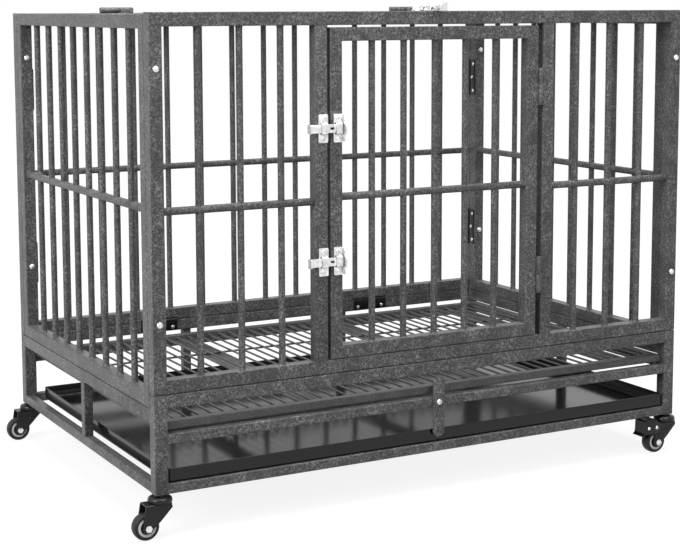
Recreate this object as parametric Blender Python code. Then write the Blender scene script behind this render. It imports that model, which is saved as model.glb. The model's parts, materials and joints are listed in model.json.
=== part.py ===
"""Heavy-duty steel dog crate on castors, built as separate named pieces.

Lengths are in metres. While the pieces are made, X runs along the front from
the left end, Y runs back from the front face and Z is measured from the lower
edge of the front panel. One root empty then carries the finished crate so that
the middle of its footprint stands on the origin.
"""

import math

import bmesh
import bpy
from mathutils import Matrix, Vector

# Overall sizes of the crate
LENGTH = 0.940
DEPTH = 0.620
FRONT_PANEL_HEIGHT = 0.536
SIDE_PANEL_BOTTOM = -0.022
SIDE_PANEL_TOP = 0.533
BASE_BOTTOM = -0.145
FLOOR_LEVEL = -0.209

# Tube, bar and sheet stock
TUBE = 0.020
SMALL_TUBE = 0.015
TUBE_EDGE = 0.0016
BAR_DIAMETER = 0.010
BAR_SIDES = 8
MID_RAIL_HEIGHT = 0.011
MID_RAIL_DEPTH = 0.0124
MID_RAIL_CENTRE = 0.2585
BAR_EMBED = 0.006
WELD_STEP = 0.0002

# Clearances
TOUCH_GAP = 0.0003
BASE_SEAM = 0.0008
RUN_CLEARANCE = 0.0005

# Front doorway
LEFT_JAMB = 0.2577
RIGHT_SECTION = 0.2772
RIGHT_JAMB = LENGTH - RIGHT_SECTION
FRONT_BAR_OFFSET = 0.056
FRONT_BAR_PITCH = 0.065
FRONT_BAR_COUNT = 3
DOOR_LATCH_GAP = 0.0046
DOOR_HINGE_GAP = 0.0098
DOOR_BOTTOM_GAP = 0.0010
DOOR_TOP_GAP = 0.0032
DOOR_LEFT = LEFT_JAMB + TUBE + DOOR_LATCH_GAP
DOOR_RIGHT = RIGHT_JAMB - DOOR_HINGE_GAP
DOOR_BOTTOM = TUBE + DOOR_BOTTOM_GAP
DOOR_TOP = FRONT_PANEL_HEIGHT - TUBE - DOOR_TOP_GAP
DOOR_BAR_COUNT = 5
DOOR_RAIL_CENTRE = 0.2632

# Side and back panels
SIDE_BAR_COUNT = 8
BACK_BAR_COUNT = 13
SIDE_RAIL_CENTRE = 0.2595
BACK_RAIL_CENTRE = 0.2575

# Top lid
LID_SIDE_GAP = 0.0020
LID_FRONT_GAP = 0.0020
LID_BACK_GAP = 0.0110
LID_FRONT = TUBE + LID_FRONT_GAP
LID_BACK = DEPTH - TUBE - LID_BACK_GAP
LID_BOTTOM = 0.5175
LID_HEIGHT = 0.0150
LID_BAR_COUNT = 13

# Base frame
BASE_SIDE_RAIL_TOP = SIDE_PANEL_BOTTOM - BASE_SEAM
BASE_FRONT_RAIL_TOP = -BASE_SEAM
BASE_MID_RAIL_TOP = -0.058
SIDE_STRUT_FRONT = 0.297
STRUT_FROM_END = 0.300
BACK_STRUTS = (STRUT_FROM_END, LENGTH - SMALL_TUBE - STRUT_FROM_END)
TRAY_BEARERS = BACK_STRUTS
RUNNER_WIDTH = 0.015
RUNNER_TOP = -0.0543
RUNNER_THICKNESS = 0.0057

# Wire floor grid
GRID_SIDE_GAP = 0.002
GRID_SIDE = TUBE + GRID_SIDE_GAP
GRID_FRONT = 0.009
GRID_BACK_GAP = 0.050
GRID_BACK = DEPTH - GRID_BACK_GAP
GRID_BOTTOM = RUNNER_TOP + TOUCH_GAP
GRID_HEIGHT = 0.012
GRID_FRAME = 0.015
GRID_WIRE = 0.0036
GRID_WIRE_SIDES = 6
GRID_PITCH = 0.0203
GRID_WIRE_RISE = 0.0075
GRID_CROSS_RISE = 0.0046
GRID_WIRE_LEVEL = GRID_BOTTOM + GRID_WIRE_RISE
GRID_CROSS_LEVEL = GRID_BOTTOM + GRID_CROSS_RISE
GRID_CROSS_FROM_ENDS = 0.150
GRID_STRAPS = (0.278, 0.588, 0.858)
GRID_STRAP_WIDTH = 0.040
GRID_STRAP_THICKNESS = 0.0022

# Pull-out tray
TRAY_SIDE_GAP = 0.001
TRAY_SIDE = TUBE + TRAY_SIDE_GAP
TRAY_FRONT = 0.003
TRAY_BACK_GAP = 0.057
TRAY_BACK = DEPTH - TRAY_BACK_GAP
TRAY_BOTTOM = BASE_BOTTOM + SMALL_TUBE + TOUCH_GAP
TRAY_HEIGHT = 0.021
TRAY_SHEET = 0.0015

# Turning lock tab in front of the grid and the tray
TAB_CENTRE = LENGTH / 2.0
TAB_WIDTH = 0.020
TAB_TOP = -0.028
TAB_BOTTOM = -0.121
TAB_THICKNESS = 0.003
TAB_PIVOT = BASE_MID_RAIL_TOP - SMALL_TUBE / 2.0
TAB_HOLE_RADIUS = 0.0026
TAB_SCREW_RADIUS = 0.0022
TAB_HEAD_RADIUS = 0.0045
TAB_HEAD_HEIGHT = 0.0026

# Door hinges, each a barrel in two lugged halves; (bottom, split, top) heights
DOOR_HINGE_LEVELS = {"lower": (0.0886, 0.1193, 0.1471), "upper": (0.3887, 0.4215, 0.4466)}
DOOR_HINGE_RADIUS = 0.0046
DOOR_HINGE_Y = -0.0010

# Lid hinges, each a barrel in two halves with a weld lug
LID_HINGE_FROM_END = 0.178
LID_HINGE_CENTRES = {"left": LID_HINGE_FROM_END, "right": LENGTH - LID_HINGE_FROM_END}
LID_HINGE_LENGTH = 0.060
LID_HINGE_SPLIT = 0.036
LID_HINGE_RADIUS = 0.00475
LID_HINGE_RISE = 0.0050
LID_HINGE_SEAT = 0.00375

# Sliding latches, sizes along the slide, across it and out of the surface
LATCH_LEVELS = {"lower": 0.169, "upper": 0.366}
LATCH_GUIDE_FROM_JAMB = 0.0118
LATCH_GUIDE_CENTRE = LEFT_JAMB + LATCH_GUIDE_FROM_JAMB
LATCH_GUIDE_WIDTH = 0.016
LATCH_PLATE_HEIGHT = 0.042
LATCH_PLATE_TOP = 0.0020
LATCH_BRIDGE_WIDTH = 0.010
LATCH_BRIDGE_HALF = 0.0082
LATCH_BRIDGE_TOP = 0.0080
LATCH_BOLT_HALF = 0.00625
LATCH_BOLT_BOTTOM = 0.0023
LATCH_BOLT_TOP = 0.0063
LATCH_BOLT_BACK = -0.0265
LATCH_BOLT_TIP = 0.0285
LATCH_SLOT_LENGTH = 0.006
LATCH_SLOT_HALF = 0.0018
LATCH_SLOT_CENTRE = 0.0125
LATCH_THUMB_TOP = 0.0130
LATCH_THUMB_HALF = 0.0070
LATCH_THUMB_THICKNESS = 0.0020
LATCH_KEEPER_START = 0.0170
LATCH_KEEPER_END = 0.0325
LATCH_KEEPER_BRIDGE_START = 0.0190
LATCH_KEEPER_BRIDGE_END = 0.0290
LATCH_FLANGE_THICKNESS = 0.0016
LATCH_FLANGE_TOP = 0.0110
LATCH_FLANGE_CREST = 0.0160
LATCH_FLANGE_CREST_HALF = 0.0090
LATCH_SCREW_OFFSET = 0.0150
LATCH_SCREW_RADIUS = 0.0034
LATCH_SCREW_HEIGHT = 0.0016
LID_LATCH_OFFSET = 0.004
LID_LATCH_X = LENGTH / 2.0 - LID_LATCH_OFFSET
LID_FLANGE_TOP = 0.0072
LID_FLANGE_CREST = 0.0085

# Round-headed bolts that hold the panels together
PANEL_BOLT_LEVELS = {"lower": 0.100, "upper": 0.458}
PANEL_BOLT_RADIUS = 0.0048
PANEL_BOLT_HEIGHT = 0.0034

# Flat butt hinges at the back corners and under the back panel
BUTT_LEVELS = {"lower": 0.106, "upper": 0.404}
BUTT_HEIGHT = 0.070
BUTT_LEAF = 0.018
BUTT_SHEET = 0.0016
BUTT_KNUCKLE_RADIUS = 0.0026
BUTT_SCREW_RADIUS = 0.0032
BUTT_SCREW_HEIGHT = 0.0012
BUTT_SCREW_PITCH = 0.026
BUTT_SCREW_STAGGER = 0.004
BASE_BUTT_FROM_END = 0.2505
BASE_BUTT_CENTRES = {"left": BASE_BUTT_FROM_END, "right": LENGTH - BASE_BUTT_FROM_END}
BASE_BUTT_UPPER_LEAF = 0.005

# Castors
CASTOR_CAP_RADIUS = 0.018
CASTOR_CAP_BOTTOM = -0.156
CASTOR_NECK_RADIUS = 0.0085
CASTOR_TRAIL = 0.023
CASTOR_SIDES = 20
FORK_HALF_WIDTH = 0.01225
FORK_SHEET = 0.0020
FORK_BACK = -0.026
FORK_FRONT = 0.014
FORK_END_RADIUS = 0.008
WHEEL_RADIUS = 0.0195
WHEEL_HALF_WIDTH = 0.0090
WHEEL_RING_OUTER = 0.01375
WHEEL_RING_INNER = 0.0100
WHEEL_HUB_RADIUS = 0.0060
AXLE_RADIUS = 0.0030
AXLE_BORE_RADIUS = 0.0034
AXLE_HEX_RADIUS = 0.0062
AXLE_HEAD_HEIGHT = 0.0035

# Brake pedals on the right-hand castors
PEDAL_PIVOT_X = -0.027
PEDAL_PIVOT_Z = -0.1634
PEDAL_END_X = -0.0505
PEDAL_TOP = -0.1500
PEDAL_EAR_BOTTOM = -0.1740
PEDAL_LIP_X = -0.0560
PEDAL_LIP_Z = -0.1815
PEDAL_SHEET = 0.0016
PEDAL_RIVET_RADIUS = 0.0028
PEDAL_RIVET_HEIGHT = 0.0012
PEDAL_SECOND_RIVET_X = -0.0437

# Colours, all linear
PAINT_COLOUR = (0.105, 0.107, 0.110)
GRID_COLOUR = (0.100, 0.102, 0.105)
TRAY_COLOUR = (0.006, 0.006, 0.007)
ZINC_COLOUR = (0.70, 0.70, 0.69)
BLACK_STEEL_COLOUR = (0.012, 0.012, 0.013)
WHEEL_COLOUR = (0.030, 0.030, 0.031)

X_AXIS, Y_AXIS, Z_AXIS = 0, 1, 2


def clear_scene():
    """Remove whatever the start-up file holds."""
    for item in list(bpy.data.objects):
        bpy.data.objects.remove(item, do_unlink=True)


def make_collection(name):
    """Return a new collection under the scene."""
    collection = bpy.data.collections.new(name)
    bpy.context.scene.collection.children.link(collection)
    return collection


def make_material(name, colour, roughness, metallic):
    """Return a Principled material of one plain colour."""
    material = bpy.data.materials.new(name)
    material.use_nodes = True
    shader = material.node_tree.nodes["Principled BSDF"]
    shader.inputs["Base Color"].default_value = (*colour, 1.0)
    shader.inputs["Roughness"].default_value = roughness
    shader.inputs["Metallic"].default_value = metallic
    material.diffuse_color = (*colour, 1.0)
    return material


def painted(name):
    """Return the grey hammered paint of the frames."""
    return make_material(name + "_paint", PAINT_COLOUR, 0.45, 0.15)


def grid_paint(name):
    """Return the grey paint of the floor wires."""
    return make_material(name + "_paint", GRID_COLOUR, 0.45, 0.15)


def tray_enamel(name):
    """Return the glossy black of the tray."""
    return make_material(name + "_enamel", TRAY_COLOUR, 0.15, 0.0)


def bright_zinc(name):
    """Return the bright plating of latches and bolts."""
    return make_material(name + "_zinc", ZINC_COLOUR, 0.28, 1.0)


def black_steel(name):
    """Return the black finish of the castor metal and the butt hinges."""
    return make_material(name + "_black", BLACK_STEEL_COLOUR, 0.35, 0.0)


def black_rubber(name):
    """Return the dark rubber of the wheels."""
    return make_material(name + "_rubber", WHEEL_COLOUR, 0.60, 0.0)


def to_mesh(bm, name):
    """Turn an editing mesh into a closed mesh that faces outwards."""
    bmesh.ops.recalc_face_normals(bm, faces=bm.faces)
    mesh = bpy.data.meshes.new(name)
    bm.to_mesh(mesh)
    bm.free()
    return mesh


def box(low, high, edge=0.0, along=None):
    """Return a box, its edges along one axis (or all of them) chamfered."""
    bm = bmesh.new()
    bmesh.ops.create_cube(bm, size=1.0)
    for vert in bm.verts:
        vert.co = Vector([low[i] + (vert.co[i] + 0.5) * (high[i] - low[i]) for i in range(3)])
    if edge > 0.0:
        chosen = []
        for item in bm.edges:
            run = item.verts[0].co - item.verts[1].co
            if along is None or abs(run[along]) > max(abs(run[i]) for i in range(3) if i != along):
                chosen.append(item)
        bmesh.ops.bevel(bm, geom=chosen, offset=edge, offset_type="OFFSET", segments=1, profile=0.5, affect="EDGES")
    return to_mesh(bm, "box")


def axis_matrix(centre, axis):
    """Return the transform that stands a Z-aligned shape along the given axis."""
    turn = {
        X_AXIS: Matrix(((0, 0, 1), (1, 0, 0), (0, 1, 0))),
        Y_AXIS: Matrix(((0, 1, 0), (0, 0, 1), (1, 0, 0))),
        Z_AXIS: Matrix.Identity(3),
    }[axis]
    return Matrix.Translation(centre) @ turn.to_4x4()


def cylinder(centre, radius, low, high, axis, sides, phase=0.5):
    """Return a closed cylinder between two positions along its axis."""
    bm = bmesh.new()
    bmesh.ops.create_cone(bm, cap_ends=True, segments=sides, radius1=radius, radius2=radius, depth=high - low)
    turn = Matrix.Rotation(2.0 * math.pi * phase / sides, 4, "Z")
    middle = Vector(centre)
    middle[axis] = (low + high) / 2.0
    bmesh.ops.transform(bm, matrix=axis_matrix(middle, axis) @ turn, verts=bm.verts)
    return to_mesh(bm, "cylinder")


def lathe(profile, centre, axis, sides):
    """Return the solid turned from (radius, height) points, from one end of the axis to the other."""
    bm = bmesh.new()
    verts = [bm.verts.new((radius, 0.0, height)) for radius, height in profile]
    edges = [bm.edges.new(pair) for pair in zip(verts, verts[1:])]
    bmesh.ops.spin(
        bm,
        geom=verts + edges,
        cent=(0.0, 0.0, 0.0),
        axis=(0.0, 0.0, 1.0),
        angle=2.0 * math.pi,
        steps=sides,
        use_merge=True,
        use_duplicate=False,
    )
    bmesh.ops.remove_doubles(bm, verts=bm.verts, dist=0.000005)
    bmesh.ops.transform(bm, matrix=axis_matrix(centre, axis), verts=bm.verts)
    return to_mesh(bm, "turned")


def plate(outline, low, high, axis):
    """Return a flat plate: an outline in the plane across the axis, between two positions along it."""
    first, second = [i for i in range(3) if i != axis]
    bm = bmesh.new()
    verts = []
    for a, b in outline:
        place = [0.0, 0.0, 0.0]
        place[first] = a
        place[second] = b
        place[axis] = low
        verts.append(bm.verts.new(place))
    face = bm.faces.new(verts)
    lifted = bmesh.ops.extrude_face_region(bm, geom=[face])["geom"]
    shift = [0.0, 0.0, 0.0]
    shift[axis] = high - low
    bmesh.ops.translate(bm, vec=shift, verts=[g for g in lifted if isinstance(g, bmesh.types.BMVert)])
    return to_mesh(bm, "plate")


def joined(meshes):
    """Return one mesh that holds several bodies which stay clear of each other."""
    bm = bmesh.new()
    for mesh in meshes:
        bm.from_mesh(mesh)
        bpy.data.meshes.remove(mesh)
    result = bpy.data.meshes.new("joined")
    bm.to_mesh(result)
    bm.free()
    return result


def combine(first, others, operation="UNION"):
    """Join (or cut) closed meshes with the exact solver and return the clean result."""
    scene_collection = bpy.context.scene.collection
    target = bpy.data.objects.new("combined", first)
    scene_collection.objects.link(target)
    tools = []
    for mesh in others:
        tool = bpy.data.objects.new("tool", mesh)
        scene_collection.objects.link(tool)
        tools.append(tool)
        modifier = target.modifiers.new("combine", "BOOLEAN")
        modifier.operation = operation
        modifier.solver = "EXACT"
        modifier.object = tool
    bpy.context.view_layer.update()
    depsgraph = bpy.context.evaluated_depsgraph_get()
    result = bpy.data.meshes.new_from_object(target.evaluated_get(depsgraph))
    for item in [target] + tools:
        data = item.data
        bpy.data.objects.remove(item, do_unlink=True)
        bpy.data.meshes.remove(data)
    bm = bmesh.new()
    bm.from_mesh(result)
    bmesh.ops.remove_doubles(bm, verts=bm.verts, dist=0.000005)
    bmesh.ops.dissolve_limit(bm, angle_limit=math.radians(0.05), verts=bm.verts, edges=bm.edges)
    bmesh.ops.dissolve_degenerate(bm, dist=0.000005, edges=bm.edges)
    bmesh.ops.triangulate(bm, faces=[f for f in bm.faces if len(f.verts) > 4])
    bm.to_mesh(result)
    bm.free()
    return result


def moved(mesh, matrix):
    """Return the mesh after a transform of its points."""
    mesh.transform(matrix)
    mesh.update()
    return mesh


def place_piece(name, mesh, material, origin=(0.0, 0.0, 0.0), smooth=False):
    """Make one named object from a mesh given in crate positions, with its origin where asked."""
    mesh.transform(Matrix.Translation(-Vector(origin)))
    mesh.name = name
    mesh.materials.clear()
    mesh.materials.append(material)
    for face in mesh.polygons:
        face.use_smooth = smooth
    if smooth:
        mesh.set_sharp_from_angle(angle=math.radians(35.0))
    piece = bpy.data.objects.new(name, mesh)
    piece.location = origin
    piece.parent = ROOT
    PARTS.objects.link(piece)
    return piece


def ring_frame(low, high, axis):
    """Return a rectangular ring of square tube whose flat faces look along the given axis."""
    inner_low = [low[i] - TUBE if i == axis else low[i] + TUBE for i in range(3)]
    inner_high = [high[i] + TUBE if i == axis else high[i] - TUBE for i in range(3)]
    mesh = combine(box(low, high), [box(inner_low, inner_high)], "DIFFERENCE")
    bm = bmesh.new()
    bm.from_mesh(mesh)
    bmesh.ops.dissolve_limit(bm, angle_limit=math.radians(1.0), verts=bm.verts, edges=bm.edges)
    sharp = [e for e in bm.edges if len(e.link_faces) == 2 and e.calc_face_angle() > math.radians(60.0)]
    bmesh.ops.bevel(bm, geom=sharp, offset=TUBE_EDGE, offset_type="OFFSET", segments=1, profile=0.5, affect="EDGES")
    bpy.data.meshes.remove(mesh)
    return to_mesh(bm, "ring")


def even_positions(start, end, count):
    """Return the centres of bars that divide a space into equal steps."""
    return [start + (end - start) * (i + 1) / (count + 1) for i in range(count)]


def upright_bars(positions, across, low, high, along=X_AXIS):
    """Return upright round bars at positions along X or Y, as one mesh of clear bodies."""
    bars = []
    for position in positions:
        centre = (position, across, 0.0) if along == X_AXIS else (across, position, 0.0)
        bars.append(cylinder(centre, BAR_DIAMETER / 2.0, low, high, Z_AXIS, BAR_SIDES))
    return joined(bars)


def mid_rail(low, high, across, level, along=X_AXIS):
    """Return the level rail that ties the bars of a panel together."""
    half_depth = MID_RAIL_DEPTH / 2.0
    half_height = MID_RAIL_HEIGHT / 2.0
    if along == X_AXIS:
        corner = (low, across - half_depth, level - half_height)
        opposite = (high, across + half_depth, level + half_height)
    else:
        corner = (across - half_depth, low, level - half_height)
        opposite = (across + half_depth, high, level + half_height)
    return box(corner, opposite, TUBE_EDGE, along)


def build_front_panel():
    """Front panel: outer tube ring, two jambs, side bars and side rails."""
    middle = TUBE / 2.0
    frame = ring_frame((0.0, 0.0, 0.0), (LENGTH, TUBE, FRONT_PANEL_HEIGHT), Y_AXIS)
    inside = TUBE - BAR_EMBED
    top = FRONT_PANEL_HEIGHT - inside
    jambs = joined(
        [
            box((x, WELD_STEP, inside), (x + TUBE, TUBE - WELD_STEP, top), TUBE_EDGE, Z_AXIS)
            for x in (LEFT_JAMB, RIGHT_JAMB)
        ]
    )
    steps = [TUBE + FRONT_BAR_OFFSET + FRONT_BAR_PITCH * i for i in range(FRONT_BAR_COUNT)]
    bars = upright_bars(steps + [LENGTH - x for x in steps], middle, inside, top)
    rails = joined(
        [
            mid_rail(inside, LEFT_JAMB + BAR_EMBED, middle, MID_RAIL_CENTRE),
            mid_rail(RIGHT_JAMB + TUBE - BAR_EMBED, LENGTH - inside, middle, MID_RAIL_CENTRE),
        ]
    )
    place_piece("front_panel", combine(frame, [jambs, bars, rails]), painted("front_panel"))


def build_back_panel():
    """Back panel: tube ring, even bars and one level rail."""
    front = DEPTH - TUBE
    middle = DEPTH - TUBE / 2.0
    inside = TUBE - BAR_EMBED
    frame = ring_frame((0.0, front, SIDE_PANEL_BOTTOM), (LENGTH, DEPTH, SIDE_PANEL_TOP), Y_AXIS)
    spots = even_positions(TUBE, LENGTH - TUBE, BACK_BAR_COUNT)
    bars = upright_bars(spots, middle, SIDE_PANEL_BOTTOM + inside, SIDE_PANEL_TOP - inside)
    rail = mid_rail(inside, LENGTH - inside, middle, BACK_RAIL_CENTRE)
    place_piece("back_panel", combine(frame, [bars, rail]), painted("back_panel"))


def build_side_panel(name, left):
    """Side panel between the front and back panels: tube ring, even bars and one level rail."""
    start = TUBE + TOUCH_GAP
    end = DEPTH - TUBE - TOUCH_GAP
    middle = left + TUBE / 2.0
    inside = TUBE - BAR_EMBED
    frame = ring_frame((left, start, SIDE_PANEL_BOTTOM), (left + TUBE, end, SIDE_PANEL_TOP), X_AXIS)
    spots = even_positions(start + TUBE, end - TUBE, SIDE_BAR_COUNT)
    low = SIDE_PANEL_BOTTOM + inside
    bars = upright_bars(spots, middle, low, SIDE_PANEL_TOP - inside, Y_AXIS)
    rail = mid_rail(start + inside, end - inside, middle, SIDE_RAIL_CENTRE, Y_AXIS)
    place_piece(name, combine(frame, [bars, rail]), painted(name))


def build_front_door():
    """Front door: mitred tube ring, even bars and one level rail, turning on its right-hand edge."""
    middle = TUBE / 2.0
    inside = TUBE - BAR_EMBED
    frame = ring_frame((DOOR_LEFT, 0.0, DOOR_BOTTOM), (DOOR_RIGHT, TUBE, DOOR_TOP), Y_AXIS)
    spots = even_positions(DOOR_LEFT + TUBE, DOOR_RIGHT - TUBE, DOOR_BAR_COUNT)
    bars = upright_bars(spots, middle, DOOR_BOTTOM + inside, DOOR_TOP - inside)
    rail = mid_rail(DOOR_LEFT + inside, DOOR_RIGHT - inside, middle, DOOR_RAIL_CENTRE)
    place_piece("front_door", combine(frame, [bars, rail]), painted("front_door"), door_axis(DOOR_BOTTOM))


def door_axis(level):
    """Return the point of the door's hinge axis at one height."""
    return ((DOOR_RIGHT + RIGHT_JAMB) / 2.0, DOOR_HINGE_Y, level)


def build_door_hinges():
    """Upright barrel hinges: the lower half is lugged to the jamb, the upper half to the door."""
    for level, (bottom, split, top) in DOOR_HINGE_LEVELS.items():
        axis = door_axis(bottom)
        lower_end = split - TOUCH_GAP
        upper_start = split + TOUCH_GAP
        lug = axis[1] + DOOR_HINGE_RADIUS
        lower = combine(
            cylinder(axis, DOOR_HINGE_RADIUS, bottom, lower_end, Z_AXIS, 16),
            [box((axis[0], axis[1], bottom), (RIGHT_JAMB - TOUCH_GAP, lug, lower_end))],
        )
        upper = combine(
            cylinder(axis, DOOR_HINGE_RADIUS, upper_start, top, Z_AXIS, 16),
            [box((DOOR_RIGHT + TOUCH_GAP, axis[1], upper_start), (axis[0], lug, top))],
        )
        name = f"door_hinge_{level}_jamb_half"
        place_piece(name, lower, painted(name), axis, smooth=True)
        name = f"door_hinge_{level}_door_half"
        place_piece(name, upper, painted(name), door_axis(split), smooth=True)


def lid_axis(x):
    """Return the point of the lid's hinge axis at one distance along the crate."""
    return (x, (LID_BACK + DEPTH - TUBE) / 2.0, SIDE_PANEL_TOP + LID_HINGE_RISE)


def build_top_lid():
    """Top lid: tube ring, bars from front to back and one rail along the middle."""
    left = TUBE + LID_SIDE_GAP
    right = LENGTH - left
    middle = LID_BOTTOM + LID_HEIGHT / 2.0
    inside = TUBE - BAR_EMBED
    frame = ring_frame((left, LID_FRONT, LID_BOTTOM), (right, LID_BACK, LID_BOTTOM + LID_HEIGHT), Z_AXIS)
    bars = [
        cylinder((x, 0.0, middle), BAR_DIAMETER / 2.0, LID_FRONT + inside, LID_BACK - inside, Y_AXIS, BAR_SIDES)
        for x in even_positions(left + TUBE, right - TUBE, LID_BAR_COUNT)
    ]
    centre = (LID_FRONT + LID_BACK) / 2.0
    half_width = MID_RAIL_HEIGHT / 2.0
    half_depth = MID_RAIL_DEPTH / 2.0
    rail = box(
        (left + inside, centre - half_width, middle - half_depth),
        (right - inside, centre + half_width, middle + half_depth),
        TUBE_EDGE,
        X_AXIS,
    )
    origin = lid_axis(LENGTH / 2.0)
    place_piece("top_lid", combine(frame, [joined(bars), rail]), painted("top_lid"), origin)


def build_lid_hinges():
    """Barrel hinges behind the lid, one half lugged to the back panel and one to the lid."""
    for side, centre in LID_HINGE_CENTRES.items():
        start = centre - LID_HINGE_LENGTH / 2.0
        split = start + LID_HINGE_SPLIT
        end = start + LID_HINGE_LENGTH
        axis = lid_axis(start)
        panel_seat = SIDE_PANEL_TOP - LID_HINGE_SEAT
        lid_seat = LID_BOTTOM + LID_HEIGHT - LID_HINGE_SEAT
        back_face = DEPTH - TUBE - TOUCH_GAP
        lid_face = LID_BACK + TOUCH_GAP
        fixed = combine(
            cylinder(axis, LID_HINGE_RADIUS, start, split - TOUCH_GAP, X_AXIS, 16),
            [box((start, axis[1], panel_seat), (split - TOUCH_GAP, back_face, axis[2]))],
        )
        turning = combine(
            cylinder(axis, LID_HINGE_RADIUS, split + TOUCH_GAP, end, X_AXIS, 16),
            [box((split + TOUCH_GAP, lid_face, lid_seat), (end, axis[1], axis[2]))],
        )
        name = f"lid_hinge_{side}_panel_half"
        place_piece(name, fixed, painted(name), axis, smooth=True)
        name = f"lid_hinge_{side}_lid_half"
        place_piece(name, turning, painted(name), lid_axis(split), smooth=True)


def build_base_frame():
    """Base frame: posts, rails, struts, grid runners and tray bearers, welded into one piece."""
    inset = TUBE - BAR_EMBED
    step = WELD_STEP
    side_top = BASE_SIDE_RAIL_TOP
    side_bottom = side_top - TUBE
    rail_low = BASE_BOTTOM + step
    rail_high = BASE_BOTTOM + SMALL_TUBE
    mid_high = BASE_MID_RAIL_TOP
    mid_low = mid_high - SMALL_TUBE
    near = SMALL_TUBE
    back = DEPTH - step
    posts = [
        box((0.0, 0.0, BASE_BOTTOM), (TUBE, TUBE, BASE_FRONT_RAIL_TOP), TUBE_EDGE, Z_AXIS),
        box((LENGTH - TUBE, 0.0, BASE_BOTTOM), (LENGTH, TUBE, BASE_FRONT_RAIL_TOP), TUBE_EDGE, Z_AXIS),
        box((0.0, DEPTH - TUBE, BASE_BOTTOM), (TUBE, DEPTH, side_top), TUBE_EDGE, Z_AXIS),
        box((LENGTH - TUBE, DEPTH - TUBE, BASE_BOTTOM), (LENGTH, DEPTH, side_top), TUBE_EDGE, Z_AXIS),
    ]
    long_rails = [
        ((inset, step, BASE_FRONT_RAIL_TOP - TUBE), (LENGTH - inset, TUBE - step, BASE_FRONT_RAIL_TOP - step)),
        ((inset, DEPTH - TUBE + step, side_bottom), (LENGTH - inset, back, side_top - step)),
        ((inset, step, mid_low), (LENGTH - inset, near, mid_high)),
        ((inset, DEPTH - near, mid_low), (LENGTH - inset, back, mid_high)),
        ((inset, step, rail_low), (LENGTH - inset, near, rail_high)),
        ((inset, DEPTH - near, rail_low), (LENGTH - inset, back, rail_high)),
    ]
    front_back_rails = []
    for low_x, high_x, side_x in ((step, near, step), (LENGTH - near, LENGTH - step, LENGTH - TUBE + step)):
        front_back_rails.append(((low_x, inset, rail_low), (high_x, DEPTH - inset, rail_high)))
        side_end = side_x + TUBE - 2.0 * step
        front_back_rails.append(((side_x, inset, side_bottom), (side_end, DEPTH - inset, side_top - step)))
    overlap = BAR_EMBED
    uprights = []
    for low_x in (2.0 * step, LENGTH - near + step):
        high_x = low_x + near - 3.0 * step
        corner = (low_x, SIDE_STRUT_FRONT, rail_high - overlap)
        uprights.append((corner, (high_x, SIDE_STRUT_FRONT + near, side_bottom + overlap)))
    for x in BACK_STRUTS:
        corner = (x, DEPTH - near + step, rail_high - overlap)
        uprights.append((corner, (x + near, back - step, side_bottom + overlap)))
    runners = []
    for x in (TUBE - step, LENGTH - TUBE - RUNNER_WIDTH + step):
        low = (x, near - overlap, RUNNER_TOP - RUNNER_THICKNESS)
        runners.append((low, (x + RUNNER_WIDTH, DEPTH - near + overlap, RUNNER_TOP)))
    bearers = []
    for x in TRAY_BEARERS:
        low = (x, near - overlap, rail_low + step)
        bearers.append((low, (x + near, DEPTH - near + overlap, rail_high)))
    pieces = [box(low, high, TUBE_EDGE, X_AXIS) for low, high in long_rails]
    cross = [box(low, high, TUBE_EDGE, Y_AXIS) for low, high in front_back_rails + bearers]
    upright = [box(low, high, TUBE_EDGE, Z_AXIS) for low, high in uprights]
    strips = [box(low, high) for low, high in runners]
    frame = combine(joined(posts), [joined(pieces), joined(cross), joined(upright), joined(strips)])
    place_piece("base_frame", frame, painted("base_frame"))


def build_floor_grid():
    """Floor grid: tube ring, long wires from front to back, two cross wires and three flat straps."""
    left = GRID_SIDE
    right = LENGTH - GRID_SIDE
    top = GRID_BOTTOM + GRID_HEIGHT
    embed = GRID_FRAME - BAR_EMBED
    low, high = (left, GRID_FRONT, GRID_BOTTOM), (right, GRID_BACK, top)
    hole_low = (left + GRID_FRAME, GRID_FRONT + GRID_FRAME, GRID_BOTTOM - GRID_HEIGHT)
    hole_high = (right - GRID_FRAME, GRID_BACK - GRID_FRAME, top + GRID_HEIGHT)
    frame = combine(box(low, high, TUBE_EDGE / 2.0), [box(hole_low, hole_high)], "DIFFERENCE")
    wire_count = int((right - left - 2.0 * GRID_FRAME) / GRID_PITCH) + 1
    half_span = GRID_PITCH * (wire_count - 1) / 2.0
    wires = []
    for i in range(wire_count):
        centre = (LENGTH / 2.0 - half_span + GRID_PITCH * i, 0.0, GRID_WIRE_LEVEL)
        start, end = GRID_FRONT + embed, GRID_BACK - embed
        wires.append(cylinder(centre, GRID_WIRE / 2.0, start, end, Y_AXIS, GRID_WIRE_SIDES))
    cross_wires = []
    for y in (GRID_FRONT + GRID_CROSS_FROM_ENDS, GRID_BACK - GRID_CROSS_FROM_ENDS):
        centre = (0.0, y, GRID_CROSS_LEVEL)
        cross_wires.append(cylinder(centre, GRID_WIRE / 2.0, left + embed, right - embed, X_AXIS, GRID_WIRE_SIDES))
    straps = []
    for x in GRID_STRAPS:
        start = (x - GRID_STRAP_WIDTH / 2.0, GRID_FRONT + embed, GRID_BOTTOM + 2.0 * WELD_STEP)
        end = (x + GRID_STRAP_WIDTH / 2.0, GRID_BACK - embed, start[2] + GRID_STRAP_THICKNESS)
        straps.append(box(start, end))
    grid = combine(frame, [joined(wires), joined(cross_wires), joined(straps)])
    place_piece("floor_grid", grid, grid_paint("floor_grid"))


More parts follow.
